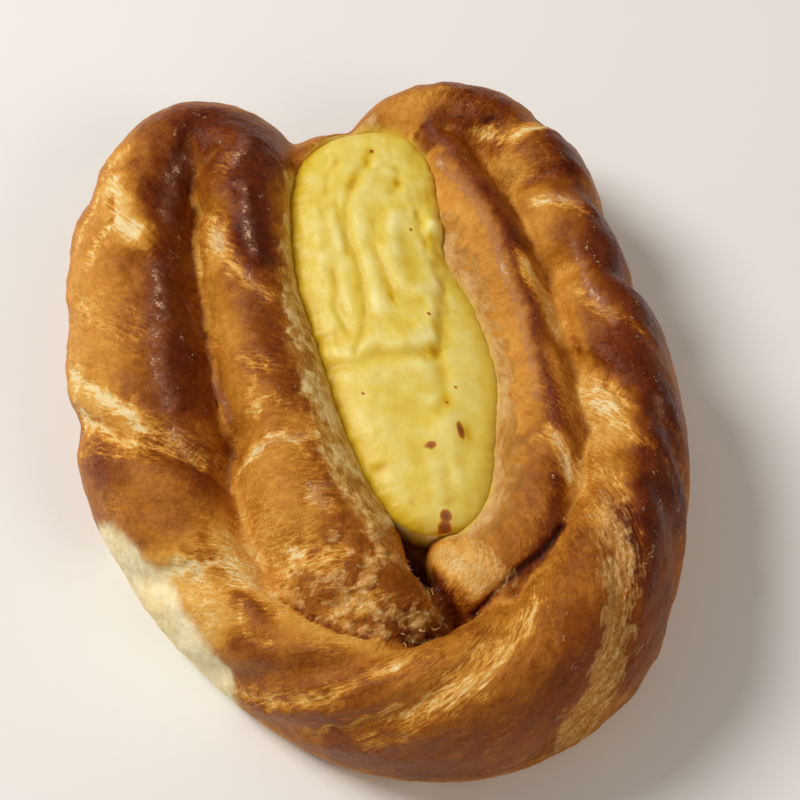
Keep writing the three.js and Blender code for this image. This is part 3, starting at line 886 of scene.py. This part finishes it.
in_bubbles = np.clip(bubbles, 0, 1)
bake = np.where(outwards[:, 2] < -0.5, 0.5 + 0.25 * lumps, bake)
bake -= 0.12 * crease * (1 - on_slope) * np.clip(0.8 + 1.6 * ragged, 0, 1.4)
for brown, share in ((0.66, flap), (0.6, in_bubbles), (0.16, crumbed)):
    bake += (brown - bake) * share
bake -= 0.16 * smoothstep(9 - points[:, 2], 0, 7)
porous = np.maximum(porous, torn_end * np.clip(0.7 + 1.7 * clumps, 0, 1))
porous = np.maximum(porous * (1 - in_bubbles), 0.7 * crumbed)
CRUST_MAPS = {
    "crease": crease * (1 - on_slope) * (1 - cream), "bake": np.clip(bake, 0, 1),
    "torn": np.clip(cracked, 0, 1), "porous": np.clip(porous, 0, 1),
    "cream": np.clip(cream, 0, 1), "left_slope": left_slope * (1 - pinch),
    "right_slope": right_slope * (1 - pinch), "soaked": soaked * (1 - pinch),
    # slits, pinched lines and the foot of the torn tip carry painted shade
    "crevice_shade": np.maximum(crevice_shade, np.maximum(pinch, 0.7 * under_tip)), "glints": glints,
    "from_custard": np.clip(out_here / 10, 0, 1),
    "shred_here": frayed * smoothstep(blisters, -0.1, 0.2),
}
for name, values in CRUST_MAPS.items():
    write(dough_mesh, name, values)
write(dough_mesh, "grain", np.column_stack([grain_across, grain_along, 0 * grain_along]),
      "FLOAT_VECTOR")
dough = in_scene("baked_dough", dough_mesh)
shade_smooth(dough_mesh)
for scaffold in (spine, raw):
    bpy.data.objects.remove(scaffold)
print(f"{dough.name}: {len(CRUST_MAPS)} maps and the grain at each point")

# %% [markdown]
# ## Shreds at the torn end
# Where the rope was pulled off, thin slivers of crumb stand up from the tear. They repeat, so
# Geometry Nodes scatter them on the skin where the tear map says, each one a flattened cone
# with its own length, lean and bend.

# %% Scatter the shreds
def shred_tree():
    tree, given, result = geometry_tree("shreds", [
        ("Shreds in a square metre", "NodeSocketFloat", 7e5),
        ("Longest", "NodeSocketFloat", 1.2 * MM), ("Thickness", "NodeSocketFloat", 0.42 * MM),
        ("Draw", "NodeSocketInt", 4)])
    density = maths(tree, "MULTIPLY", named(tree, "shred_here"),
                    given.outputs["Shreds in a square metre"])
    spots = add_node(tree, "GeometryNodeDistributePointsOnFaces", {
        "Mesh": given.outputs["Geometry"], "Density": density, "Seed": given.outputs["Draw"]})
    sliver = add_node(tree, "GeometryNodeMeshCone", {
        "Vertices": 6, "Side Segments": 5, "Radius Top": 0.02 * MM,
        "Radius Bottom": given.outputs["Thickness"], "Depth": given.outputs["Longest"]})

    def drawn(kind, low, high, draw):
        made = add_node(tree, "FunctionNodeRandomValue", data_type=kind)
        sockets = [s for s in made.inputs if s.enabled and s.name in ("Min", "Max")]
        for socket, value in zip(sockets, (low, high)):
            socket.default_value = value
        made.inputs["Seed"].default_value = draw
        return next(s for s in made.outputs if s.enabled)

    lean = drawn("FLOAT_VECTOR", (-1.2, -1.2, -3.1), (1.2, 1.2, 3.1), 1)
    size = drawn("FLOAT_VECTOR", (0.5, 0.2, 0.5), (1.3, 0.45, 1.3), 2)
    turned = add_node(tree, "FunctionNodeRotateEuler", {
        0: spots.outputs["Rotation"], "Rotate By": lean}, space="LOCAL").outputs[0]
    placed = add_node(tree, "GeometryNodeInstanceOnPoints", {
        "Points": spots.outputs["Points"], "Instance": sliver.outputs["Mesh"],
        "Rotation": turned, "Scale": size})
    real = add_node(tree, "GeometryNodeRealizeInstances", {0: placed.outputs[0]})
    crumple = add_node(tree, "ShaderNodeTexNoise", {"Scale": 900.0, "Detail": 2.0})
    centred = vector_maths(tree, "SUBTRACT", a=crumple.outputs["Color"], b=(0.5, 0.5, 0.5))
    bent = add_node(tree, "GeometryNodeSetPosition", {
        "Geometry": real.outputs[0],
        "Offset": vector_maths(tree, "SCALE", a=centred, scale=1.3 * MM)})
    pale = stored(tree, bent.outputs[0], "bake", drawn("FLOAT", 0.02, 0.4, 3))
    both = add_node(tree, "GeometryNodeJoinGeometry")
    for part in (stored(tree, pale, "cream", 0.25), given.outputs["Geometry"]):
        tree.links.new(part, both.inputs[0])
    finish = add_node(tree, "GeometryNodeSetMaterial", {"Geometry": both.outputs[0]})
    tree.links.new(finish.outputs[0], result.inputs[0])
    return tree


skin_points = len(dough_mesh.vertices)
dough.data = dough_mesh = run_tree(dough, shred_tree())
shade_smooth(dough_mesh)
print(f"shreds added {len(dough_mesh.vertices) - skin_points} points")

# %% [markdown]
# ## The crust's finish
# Browning runs from cream through gold and chestnut to nearly black. Fine streaks follow the
# grain, torn places are pale and porous, and the egg wash leaves a thin uneven gloss, whose glints
# and sheen are painted into the colour.

# %% Shader helpers
def srgb(code):
    parts = [int(code[i:i + 2], 16) / 255 for i in (0, 2, 4)]
    return [p / 12.92 if p <= 0.04045 else ((p + 0.055) / 1.055) ** 2.4 for p in parts] + [1]


def new_material(name):
    made = bpy.data.materials.new(name)
    made.use_nodes = True
    made.node_tree.nodes.clear()
    return made, made.node_tree


def finish_surface(material, sockets):
    tree = material.node_tree
    surface = add_node(tree, "ShaderNodeBsdfPrincipled", sockets)
    add_node(tree, "ShaderNodeOutputMaterial", {"Surface": surface.outputs[0]})
    print(f"{material.name}: {len(tree.nodes)} nodes")


# %% Patterns and colours for a surface
def attribute(tree, name, output="Fac"):
    return add_node(tree, "ShaderNodeAttribute", attribute_name=name).outputs[output]


def object_place(tree):
    return add_node(tree, "ShaderNodeTexCoord").outputs["Object"]


def stretched(tree, place, scale):
    return add_node(tree, "ShaderNodeMapping", {"Vector": place, "Scale": scale}).outputs[0]


def mottle(tree, place, scale, detail=4, roughness=0.6, stretch=None, bend=0.0, output="Fac"):
    return add_node(tree, "ShaderNodeTexNoise", {
        "Vector": stretched(tree, place, stretch) if stretch else place, "Scale": scale,
        "Detail": detail, "Roughness": roughness, "Distortion": bend}).outputs[output]


def ramp(tree, value, *stops):
    made = add_node(tree, "ShaderNodeValToRGB", {"Fac": value})
    while len(made.color_ramp.elements) < len(stops):
        made.color_ramp.elements.new(0.5)
    for element, (position, colour) in zip(made.color_ramp.elements, stops):
        element.position = position
        element.color = srgb(colour) if isinstance(colour, str) else (colour,) * 3 + (1,)
    return made.outputs[0]


def mix(tree, share, first, second):
    made = add_node(tree, "ShaderNodeMix", data_type="RGBA", clamp_factor=True)
    for socket, value in ((0, share), (6, first), (7, second)):
        join(tree, srgb(value) if isinstance(value, str) else value, made.inputs[socket])
    return made.outputs[2]


def bump(tree, height, distance, strength, under=None):
    return add_node(tree, "ShaderNodeBump", {
        "Height": height, "Distance": distance * MM, "Strength": strength,
        "Normal": under}).outputs[0]


def shaken(tree, level, *noises):
    for value, by in noises:
        level = maths(tree, "MULTIPLY_ADD", maths(tree, "SUBTRACT", value, 0.5), by, level)
    return level


def hairline(tree, value, half_width):
    off = maths(tree, "ABSOLUTE", maths(tree, "SUBTRACT", value, 0.5))
    share = maths(tree, "MINIMUM", 1.0, maths(tree, "DIVIDE", off, half_width))
    return maths(tree, "SUBTRACT", 1.0, share)


# %% Textures of the crust
def crust_textures(tree):
    place = object_place(tree)
    grain = attribute(tree, "grain", "Vector")
    return SimpleNamespace(
        place=place, grain=grain,
        streaks=mottle(tree, grain, 1.0, 6, 0.62, (0.5, 0.22, 1), 0.3),
        creases=mottle(tree, grain, 1.0, 4, 0.6, (0.8, 0.3, 1)),
        fibres=mottle(tree, grain, 1.0, 5, 0.7, (1.2, 0.45, 1), 0.9),
        strands=mottle(tree, grain, 1.0, 6, 0.7, (0.3, 0.6, 1), 0.7),
        patches=mottle(tree, grain, 1.0, 3, 0.5, (0.16, 0.4, 1), 0.4),
        spread=mottle(tree, place, 60, 3, 0.5), clouds=mottle(tree, place, 150, 5),
        crinkle=mottle(tree, place, 620, 5, 0.62), freckles=mottle(tree, place, 1100, 4, 0.75),
        pores=mottle(tree, place, 1500, 5, 0.75), glint_speck_noise=mottle(tree, place, 2500, 3, 0.7))


# %% How brown the crust looks
def crust_level(tree, look):
    # painted shade darkens the slits, the pinched lines and the foot of the torn tip
    level = maths(tree, "MULTIPLY_ADD", attribute(tree, "crevice_shade"), 0.5, attribute(tree, "bake"))
    level = shaken(tree, level, (look.streaks, 0.16), (look.clouds, 0.4), (look.spread, 0.16),
                   (look.freckles, 0.24), (look.crinkle, 0.18))
    torn = attribute(tree, "torn")
    pulled = ramp(tree, shaken(tree, torn, (look.fibres, 2.2), (look.crinkle, 0.7)),
                  (0.5, 0.0), (0.8, 0.5), (1.2, 1.0))
    lines = maths(tree, "MULTIPLY", hairline(tree, look.creases, 0.035),
                  ramp(tree, look.spread, (0.46, 0.12), (0.62, 1.0)))
    swirl = mottle(tree, look.place, 240, 5, 0.65, output="Color")
    warped = vector_maths(tree, "ADD", a=stretched(tree, look.grain, (0.95, 0.24, 1)),
                          b=vector_maths(tree, "SCALE", a=swirl, scale=1.6))
    cells = add_node(tree, "ShaderNodeTexVoronoi", {"Vector": warped, "Scale": 1.0},
                     feature="DISTANCE_TO_EDGE").outputs[0]
    crackle = maths(tree, "MULTIPLY", ramp(tree, cells, (0.0, 1.0), (0.12, 0.0)), ramp(
        tree, shaken(tree, look.clouds, (look.spread, 1.0)), (0.44, 0.0), (0.6, 1.0)))
    net = maths(tree, "MULTIPLY", ramp(tree, cells, (0.0, 1.0), (0.16, 0.0)),
                ramp(tree, torn, (0.05, 0.0), (0.5, 1.0)))
    for mark, by in ((pulled, -0.34), (lines, -0.2), (crackle, -0.08), (net, -0.15)):
        level = maths(tree, "MULTIPLY_ADD", mark, by, level)
    return level


# %% [markdown]
# ## From brownness to colour
# One ramp turns the level into the colour of baked skin. Open crumb, the damp slopes on both sides
# of the custard and the raw-looking side have ramps of their own, laid over it by the maps. Each
# edge is shaken by the fibres, so that no patch ends in a clean line.

# %% Colours of skin, crumb and slopes
BROWNING = ((0.0, "EFD8A2"), (0.14, "E6B661"), (0.3, "D7963B"), (0.45, "B97422"),
            (0.62, "8F4C0E"), (0.8, "6C2C07"), (0.97, "481604"))
OPEN_CRUMB = ((0.25, "A06424"), (0.5, "CB9448"), (0.75, "EDD095"))
DAMP_DOUGH = ((0.34, "A8702A"), (0.48, "D0A04A"), (0.64, "F0D698"))
PEACH_DOUGH = ((0.15, "98601E"), (0.4, "B9823A"), (0.75, "E2BE82"))
RAW_DOUGH = ((0.3, "F4DEA6"), (0.5, "FFF1C6"), (0.75, "F8E2AC"))
SOAKED_YELLOW = "DDBB48"


def crust_colour(tree, look, level):
    crumb = ramp(tree, shaken(tree, look.pores, (look.fibres, 1.0)), *OPEN_CRUMB)
    porous = shaken(tree, attribute(tree, "porous"), (look.fibres, 1.2), (look.crinkle, 0.9))
    colour = mix(tree, ramp(tree, porous, (0.5, 0.0), (0.75, 0.6), (1.1, 0.85)),
                 ramp(tree, level, *BROWNING), crumb)
    damp = ramp(tree, shaken(tree, look.strands, (look.crinkle, 0.5), (look.clouds, 0.7)),
                *DAMP_DOUGH)
    fringe = shaken(tree, 0.72, (look.strands, 0.9), (look.clouds, 0.7))
    peach = ramp(tree, maths(tree, "MULTIPLY_ADD", attribute(tree, "from_custard"), -0.9, fringe),
                 *PEACH_DOUGH)
    for name, tint in (("left_slope", damp), ("right_slope", peach)):
        slope = attribute(tree, name)
        torn_edge = shaken(tree, slope, (look.strands, 0.7), (look.crinkle, 0.5))
        held = maths(tree, "MULTIPLY", ramp(tree, torn_edge, (0.2, 0.0), (0.85, 0.95)),
                     ramp(tree, slope, (0.02, 0.0), (0.5, 1.0)))
        colour = mix(tree, held, colour, tint)
    soaked = maths(tree, "MULTIPLY", attribute(tree, "soaked"), 0.85)
    colour = mix(tree, soaked, colour, SOAKED_YELLOW)
    raw_side = ramp(tree, shaken(tree, look.clouds, (look.spread, 1.0)), *RAW_DOUGH)
    return mix(tree, attribute(tree, "cream"), colour, raw_side)


# %% [markdown]
# ## Painted glints and the whole finish
# The glints of the dried egg wash are painted into the colour: a dull painted sheen with bright
# painted specks in it. The specks are cut out of three noises added together, so they are
# irregular in size and spacing. Bumps finer than the mesh can hold complete the crust, and raw
# dough and crumb are left rougher than glazed skin.

# %% Painted glints and sheen
# colours of the painted sheen and of the painted glints
PAINTED_SHEEN_COLOUR, PAINTED_GLINT_COLOUR = "A87660", "E2BC92"


def with_glints(tree, look, level, colour):
    glints = attribute(tree, "glints")
    glint_zone = maths(tree, "MAXIMUM", ramp(tree, level, (0.5, 0.0), (0.8, 1.0)),
                   attribute(tree, "crease"))
    sheen_breakup = ramp(tree, shaken(tree, look.crinkle, (look.glint_speck_noise, 0.8)), (0.36, 0.1), (0.62, 0.62))
    # painted sheen: a dull veil laid over the colour along the glint lines
    colour = mix(tree, maths(tree, "MULTIPLY", glints, sheen_breakup), colour, PAINTED_SHEEN_COLOUR)
    glint_weight = maths(tree, "MAXIMUM", maths(tree, "MULTIPLY", glint_zone, 0.3),
                maths(tree, "MULTIPLY", glints, 0.62))
    # painted glints: pale specks where three noises add up, on glint lines, dark glazed skin and
    # creases
    glint_flecks = shaken(tree, glint_weight, (look.patches, 1.8), (look.glint_speck_noise, 2.0), (look.crinkle, 2.0))
    glint_flecks = maths(tree, "MULTIPLY", ramp(tree, glint_flecks, (0.8, 0.0), (1.25, 1.0)),
                   maths(tree, "MAXIMUM", glint_zone, glints))
    return mix(tree, maths(tree, "MULTIPLY", glint_flecks, 0.8), colour, PAINTED_GLINT_COLOUR)


# %% Crust material
DULL = (0.75, 0.75, 0.75, 1)  # roughness of raw dough and open crumb


def crust_material():
    material, tree = new_material("baked crust")
    look = crust_textures(tree)
    level = crust_level(tree, look)
    colour = with_glints(tree, look, level, crust_colour(tree, look, level))
    dull = maths(tree, "MAXIMUM", attribute(tree, "cream"), attribute(tree, "porous"))
    rough = mix(tree, dull, ramp(tree, level, (0.3, 0.55), (0.55, 0.4), (0.85, 0.26)), DULL)
    fine = bump(tree, look.freckles, 0.22, 0.7)
    crumpled = bump(tree, look.crinkle, 0.4, 0.9, fine)
    finish_surface(material, {
        "Base Color": colour, "Roughness": rough,
        "Normal": bump(tree, look.streaks, 0.5, 0.4, crumpled), "IOR": 1.45,
        "Specular IOR Level": 0.16, "Subsurface Weight": 0.05,
        "Subsurface Radius": (0.003, 0.0012, 0.0004), "Subsurface Scale": 1.0})
    return material


dough_mesh.materials.clear()
dough_mesh.materials.append(crust_material())
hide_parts("dough")
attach(dough, "root")
print(f"{dough.name}: {sum(len(p.vertices) - 2 for p in dough_mesh.polygons)} triangles")

# %% [markdown]
# ## The custard
# Custard was piped in from the far end: a thick tongue with lines of flow lies on a smoother
# pool. It is lofted from sections across the gap, with one height rule for the top.

# %% Lines and blobs on the custard
RIDGES = [
    # half-width, height, then places in x, y
    (0.7, -0.8, [(8.4, 46.1), (7.2, 43.3), (4.7, 40.9), (3.6, 39.2)]),
    (0.55, -0.6, [(3.6, 39.2), (1.4, 34.4), (0.9, 27.7), (1.5, 23.3), (1.3, 18.2), (0.9, 13.2),
                  (-0.7, 8.5), (-2.5, 5.5)]),
    (0.5, -0.5, [(0.2, 36.5), (0.3, 30.7), (0.1, 25)]),
    (1.4, 0.7, [(9.9, 31.3), (7.9, 25.5), (7.5, 21.7), (8, 16.9), (10.3, 14.4)]),
    (0.5, -0.5, [(6.1, 30.9), (4.6, 25.9), (5.4, 21), (5.7, 15.4), (5.7, 9.4)]),
    (1.0, -0.5, [(11.4, 2), (11.2, -3.3), (10.6, -6.5), (9, -9)]),
    (0.5, -0.45, [(-3, 21.9), (-3, 19.1), (-4.3, 14.8), (-3.1, 9.9)]),
    (0.5, -0.45, [(-1, 39.2), (0.1, 42.9), (2.2, 45.4)]),
    (0.5, -0.4, [(8.9, 41.5), (10.7, 42.4), (12.7, 40.7)]),
    (1.0, -0.6, [(11.8, 38.4), (10.6, 36.2)]),
    (1.0, 0.4, [(-1, 34), (-1.2, 28), (-1.4, 20), (-1.4, 14)]),
    (0.6, -0.7, [(14, 31), (13.5, 28), (14, 24.5)]),
    (1.1, 0.4, [(-4.2, 36), (-4.8, 28), (-5, 22)]),
    (1.0, 0.4, [(3.2, 33), (2.8, 26), (3.4, 20), (3.4, 12)]), (1.3, 0.5, [(5.9, -19), (5.5, -25)]),
    (1.2, 0.4, [(9.2, -18), (9.6, -24)]),
]
BLOBS = [
    # x, y, spread across, spread along, height
    (9.6, -13.2, 2.6, 3.2, 1.3), (3.3, 0.6, 3.0, 2.4, 0.5), (8.4, 0.2, 2.6, 3.0, 0.6),
    (2.0, -27.4, 5.0, 1.8, 0.5), (9.8, 2.4, 1.5, 1.6, -1.2), (-3.0, -17, 1.6, 0.8, -0.6),
    (7.2, -25.6, 0.9, 0.7, -0.5), (1.0, -24.4, 0.7, 0.6, -0.4), (10.6, -26.7, 0.8, 0.6, -0.4),
    (8.8, 46.5, 0.6, 0.6, -0.6), (16, 27.4, 1.9, 2.8, 1.6), (5.4, -29.4, 1.2, 1.0, 0.9),
    (5.9, -27.6, 1.0, 1.0, 0.7), (-2, -9, 4, 5, 0.4), (13, -20, 3.5, 5, 0.35), (14, 8, 3, 6, 0.3),
    (-3, 30, 3, 8, 0.3),
]
TONGUE_FRONT = [
    (-9, 5.5), (-4, 4.2), (2, 4.9), (6, 3.8), (9.6, 2.4), (12, 5.5), (13.4, 11), (14.6, 18),
    (16.4, 26), (19, 31),
]

# %% Height of the custard's top
TONGUE_STEP = 1.1  # how far the tongue stands above the pool


def custard_relief(x, y):
    def uneven(size, draw):
        return fractal(x / size, y / size, 0 * x + draw, 2)

    ragged = uneven(3, 1)
    behind_front = np.where(y > np.interp(x, *zip(*TONGUE_FRONT)), 1, -1)
    on_tongue = behind_front * line_distance(x, y, TONGUE_FRONT) + 1.3 * ragged
    height = TONGUE_STEP * smoothstep(on_tongue, -1.4, 1.5) * (0.2 + 0.8 * smoothstep(x, -3, 6))
    height += 0.25 * np.exp(-((on_tongue - 1.9) / 1.3) ** 2)
    height -= 0.3 * np.exp(-((on_tongue + 1.1) / 0.9) ** 2)
    for half_width, lift, places in RIDGES:
        height += lift * np.exp(-(line_distance(x, y, places) / half_width) ** 2)
    for blob_x, blob_y, spread_x, spread_y, lift in BLOBS:
        height += lift * np.exp(-((x - blob_x) / spread_x) ** 2 - ((y - blob_y) / spread_y) ** 2)
    soft, lumpy = uneven(5, 9), uneven(2, 6)
    bent = x + 0.9 * np.sin(y / 4.5) + 0.5 * ragged
    flow = 0.13 * fractal(bent / 2.2, y / 9, 0 * x + 4, 2)
    flow += 0.07 * fractal((bent + 0.5 * soft) / 1.1, y / 7, 0 * x + 2, 2)
    height = 0.78 * height + flow * smoothstep(on_tongue, 0, 3) + 0.22 * soft + 0.05 * lumpy
    return height, smoothstep(on_tongue, -1, 1.5)


# %% Loft the custard
CUSTARD_RINGS, TOP_POINTS, BED_POINTS = 190, 96, 24
RIGHT_SPILL, LEFT_SPILL = 1.5, 1.0  # how far the custard runs over the dough on each side
LOBE_PLACE, LOBE_REACH, LOBE_BULGE = 27.5, 2.4, 2.2  # where and how far it bulges on the right

shares = (1 - np.cos(np.linspace(0, math.pi, CUSTARD_RINGS))) / 2
shares = 0.55 * shares + 0.45 * np.linspace(0, 1, CUSTARD_RINGS)
across = np.concatenate([np.linspace(0, math.pi, TOP_POINTS, endpoint=False),
                         np.linspace(math.pi, 2 * math.pi, BED_POINTS, endpoint=False)])
mid, ys, halves, roundings = (v[:, None] for v in custard_at(np.clip(shares, 1e-4, 1 - 1e-4)))
cosine, rise = np.cos(across)[None, :], np.sin(across)[None, :]
lobe = LOBE_BULGE * np.exp(-((ys - LOBE_PLACE) / LOBE_REACH) ** 2)
spill = np.where(cosine > 0, RIGHT_SPILL + lobe, LEFT_SPILL)
waver = (ys + 60 * (cosine > 0)).ravel() / 3.5
spill = spill + 0.6 * fractal(waver, 0 * waver, 0 * waver + 2, 3).reshape(spill.shape)
xs = mid + (halves + spill) * np.sign(cosine) * np.abs(cosine) ** 0.8
ys = np.broadcast_to(ys, xs.shape)
upper, lower = np.clip(rise, 0, 1), np.clip(-rise, 0, 1)
top = EDGE + roundings * (1.5 * upper ** 0.25 + (CROWN - 0.9) * upper ** 1.2)
under = EDGE - ((EDGE - BED) * (0.35 + 0.65 * roundings)) * lower ** 0.7
relief, tongue = (v.reshape(xs.shape) for v in custard_relief(xs.ravel(), ys.ravel()))
top = top + relief * smoothstep(rise, 0, 0.5) * roundings
zs = np.where(rise > 0, top, under) - RIM_DROP
custard_points, custard_faces = closed_shell(list(np.stack([xs, ys, zs], 2)))
custard = mesh_object("baked_custard", custard_points * MM, custard_faces)
shade_smooth(custard.data)
print(f"custard: {len(custard_points)} points, top at {zs.max():.1f} mm")

# %% [markdown]
# ## Colour of the custard
# Baked custard is brown where a blister was toasted. Its folds are painted paler and its hollows
# deeper yellow, a painted highlight and painted shade in place of the shading of its relief; its
# rim and a few pits are deeper yellow too, partly painted shade. The folds are found by comparing
# each point with its neighbours; the toasted spots and the shaded pits are short lists, since there
# are few and they follow no rule.

# %% Toasted spots and patches of painted shade
SPOTS = [
    # x, y, size across, size along
    (5.4, -29.4, 1.15, 1.1), (5.9, -27.7, 0.95, 1.0), (6.1, -15.2, 0.85, 0.7),
    (11.6, -13.4, 0.55, 1.7), (8.8, 46.5, 0.35, 0.35), (12, 27.4, 0.28, 0.28),
    (6.3, 13.2, 0.4, 0.2), (-0.9, 1.2, 0.25, 0.25), (-2.9, -2.8, 0.25, 0.25), (12.6, -5, 0.3, 0.3),
    (11.2, 9.5, 0.35, 0.2), (10.5, -7.5, 0.2, 0.2),
]
PIT_SHADE_PATCHES = [
    # the same four measures
    (10.4, 3, 1.3, 0.9), (11.7, 6.8, 0.7, 1.7), (7.2, 43.5, 0.6, 1.5), (4.4, 40.2, 0.8, 1.3),
    (11.6, 38.2, 0.8, 0.9), (10.6, -7.2, 0.8, 1.6), (15.2, 25.4, 1.0, 0.8),
    (12.6, -14.2, 0.8, 1.9), (-3, -17, 1.4, 0.6), (5.6, 14.5, 0.6, 2),
]

# %% Maps of the custard
custard_x, custard_y = custard_points[:, 0], custard_points[:, 1]


def patches_of(rows, power):
    shown = np.zeros(len(custard_points))
    for x, y, size_x, size_y in rows:
        off = ((custard_x - x) / size_x) ** 2 + ((custard_y - y) / size_y) ** 2
        shown = np.maximum(shown, np.exp(-off ** power))
    return shown


# painted shade and highlight: hollows turn deeper yellow and ridges paler, in place of the shading
# of the relief
hollow_shade_ridge_light = neighbour_mean(custard.data, custard_points[:, 2]) - custard_points[:, 2]
hollow_shade_ridge_light = blurred(custard.data, hollow_shade_ridge_light, 6)
# deeper yellow along the rim, strongest on the left, and in the listed pits: partly painted shade
from_rim = smoothstep(distance_to_outline(custard_points[:, :2]), -2.4, 0.4)
rim = np.maximum(from_rim * np.where(custard_x < 2, 1, 0.4), 0.9 * patches_of(PIT_SHADE_PATCHES, 1.0))
for name, values in (("toasted", patches_of(SPOTS, 1.5)), ("tongue", tongue),
                     ("hollow_shade_ridge_light", np.clip(hollow_shade_ridge_light * 12, -1, 1)), ("rim", rim)):
    write(custard.data, name, values)
print(f"{len(SPOTS)} toasted spots, {len(PIT_SHADE_PATCHES)} patches of deep yellow")

# %% Custard material
CUSTARD_YELLOWS = ((0.08, "F0E39E"), (0.4, "E5CD5C"), (0.7, "DAB62A"), (1.0, "C69404"))
TOASTED = ((0.3, "C4801C"), (0.6, "AC5A12"), (0.95, "7E360A"))


def custard_material():
    material, tree = new_material("baked custard")
    place = object_place(tree)
    clouds = mottle(tree, place, 260, 4, 0.55)
    fine = mottle(tree, place, 1400)
    flow = mottle(tree, place, 1.0, 2, 0.5, (240, 50, 240), 0.5)
    folds = maths(tree, "MULTIPLY", hairline(tree, flow, 0.08), attribute(tree, "tongue"))
    # the level carries painted shade in hollows, at the rim and in pits, and painted highlight on
    # ridges
    level = maths(tree, "MULTIPLY_ADD", attribute(tree, "hollow_shade_ridge_light"), 0.85, 0.36)
    level = shaken(tree, level, (clouds, 0.5))
    for mark, by in ((attribute(tree, "rim"), 0.42), (folds, 0.09)):
        level = maths(tree, "MULTIPLY_ADD", mark, by, level)
    toasted = shaken(tree, attribute(tree, "toasted"), (fine, 0.5), (clouds, 0.5))
    colour = mix(tree, ramp(tree, toasted, (0.22, 0.0), (0.42, 0.9)),
                 ramp(tree, level, *CUSTARD_YELLOWS), ramp(tree, toasted, *TOASTED))
    finish_surface(material, {
        "Base Color": colour, "Roughness": 0.4,
        "Normal": bump(tree, fine, 0.1, 0.4, bump(tree, clouds, 0.7, 0.5)), "IOR": 1.42,
        "Specular IOR Level": 0.28, "Subsurface Weight": 0.6,
        "Subsurface Radius": (0.005, 0.0035, 0.0008), "Subsurface Scale": 1.0})
    return material


custard.data.materials.append(custard_material())
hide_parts("custard")
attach(custard, "root")

# %% [markdown]
# ## Floor, light and camera
# The part lies on a plain pale floor. One broad soft light comes from behind its left side, a
# weaker and warmer one answers it from the near right, and faint light comes from all round, so
# that the strands shade one another as they do on a table by a window.

# %% Floor
FLOOR_REACH = 2.0  # metres from the middle to each side

corners = [(-1, -1), (1, -1), (1, 1), (-1, 1)]
floor = mesh_object("floor", [(x * FLOOR_REACH, y * FLOOR_REACH, 0) for x, y in corners],
                    [(0, 1, 2, 3)])
floor_material, _ = new_material("pale floor")
finish_surface(floor_material, {"Base Color": (0.86, 0.86, 0.86, 1), "Roughness": 0.9})
floor.data.materials.append(floor_material)

# %% Lights
LIT_POINT = Vector((0, 0, 0.02))


def soft_light(name, place, size, watts, tint):
    lamp = bpy.data.lights.new(name, "AREA")
    lamp.shape = "DISK"
    lamp.size = size
    lamp.energy = watts
    lamp.color = tint
    made = in_scene(name, lamp)
    made.location = place
    made.rotation_euler = (LIT_POINT - Vector(place)).to_track_quat("-Z", "Y").to_euler()
    print(f"light {name}: {watts} W, {size} m across")


soft_light("window", (-0.56, 0.36, 0.74), 0.42, 8.0, (1, 0.97, 0.92))
soft_light("bounce", (0.5, -0.6, 0.7), 0.5, 2.0, (1, 0.86, 0.72))
ROOM_LIGHT = 0.25
world = bpy.data.worlds.new("room")
bpy.context.scene.world = world
world.use_nodes = True
room = world.node_tree.nodes["Background"].inputs
room["Color"].default_value = (1, 0.94, 0.86, 1)
room["Strength"].default_value = ROOM_LIGHT

# %% Camera
TARGET = Vector((4.5, 2.0, 12.0)) * MM
AZIMUTH, ELEVATION, DISTANCE = math.radians(-12), math.radians(60), 390 * MM
behind = Vector((math.sin(AZIMUTH) * math.cos(ELEVATION), -math.cos(AZIMUTH) * math.cos(ELEVATION),
                 math.sin(ELEVATION)))
lens = bpy.data.cameras.new("camera")
lens.lens, lens.sensor_width = 100, 36
camera = in_scene("camera", lens)
camera.location = TARGET + behind * DISTANCE
camera.rotation_euler = behind.to_track_quat("Z", "Y").to_euler()
bpy.context.scene.camera = camera
bpy.context.scene.view_settings.view_transform = "Standard"
print(f"camera {DISTANCE / MM:.0f} mm from the middle of the pastry")
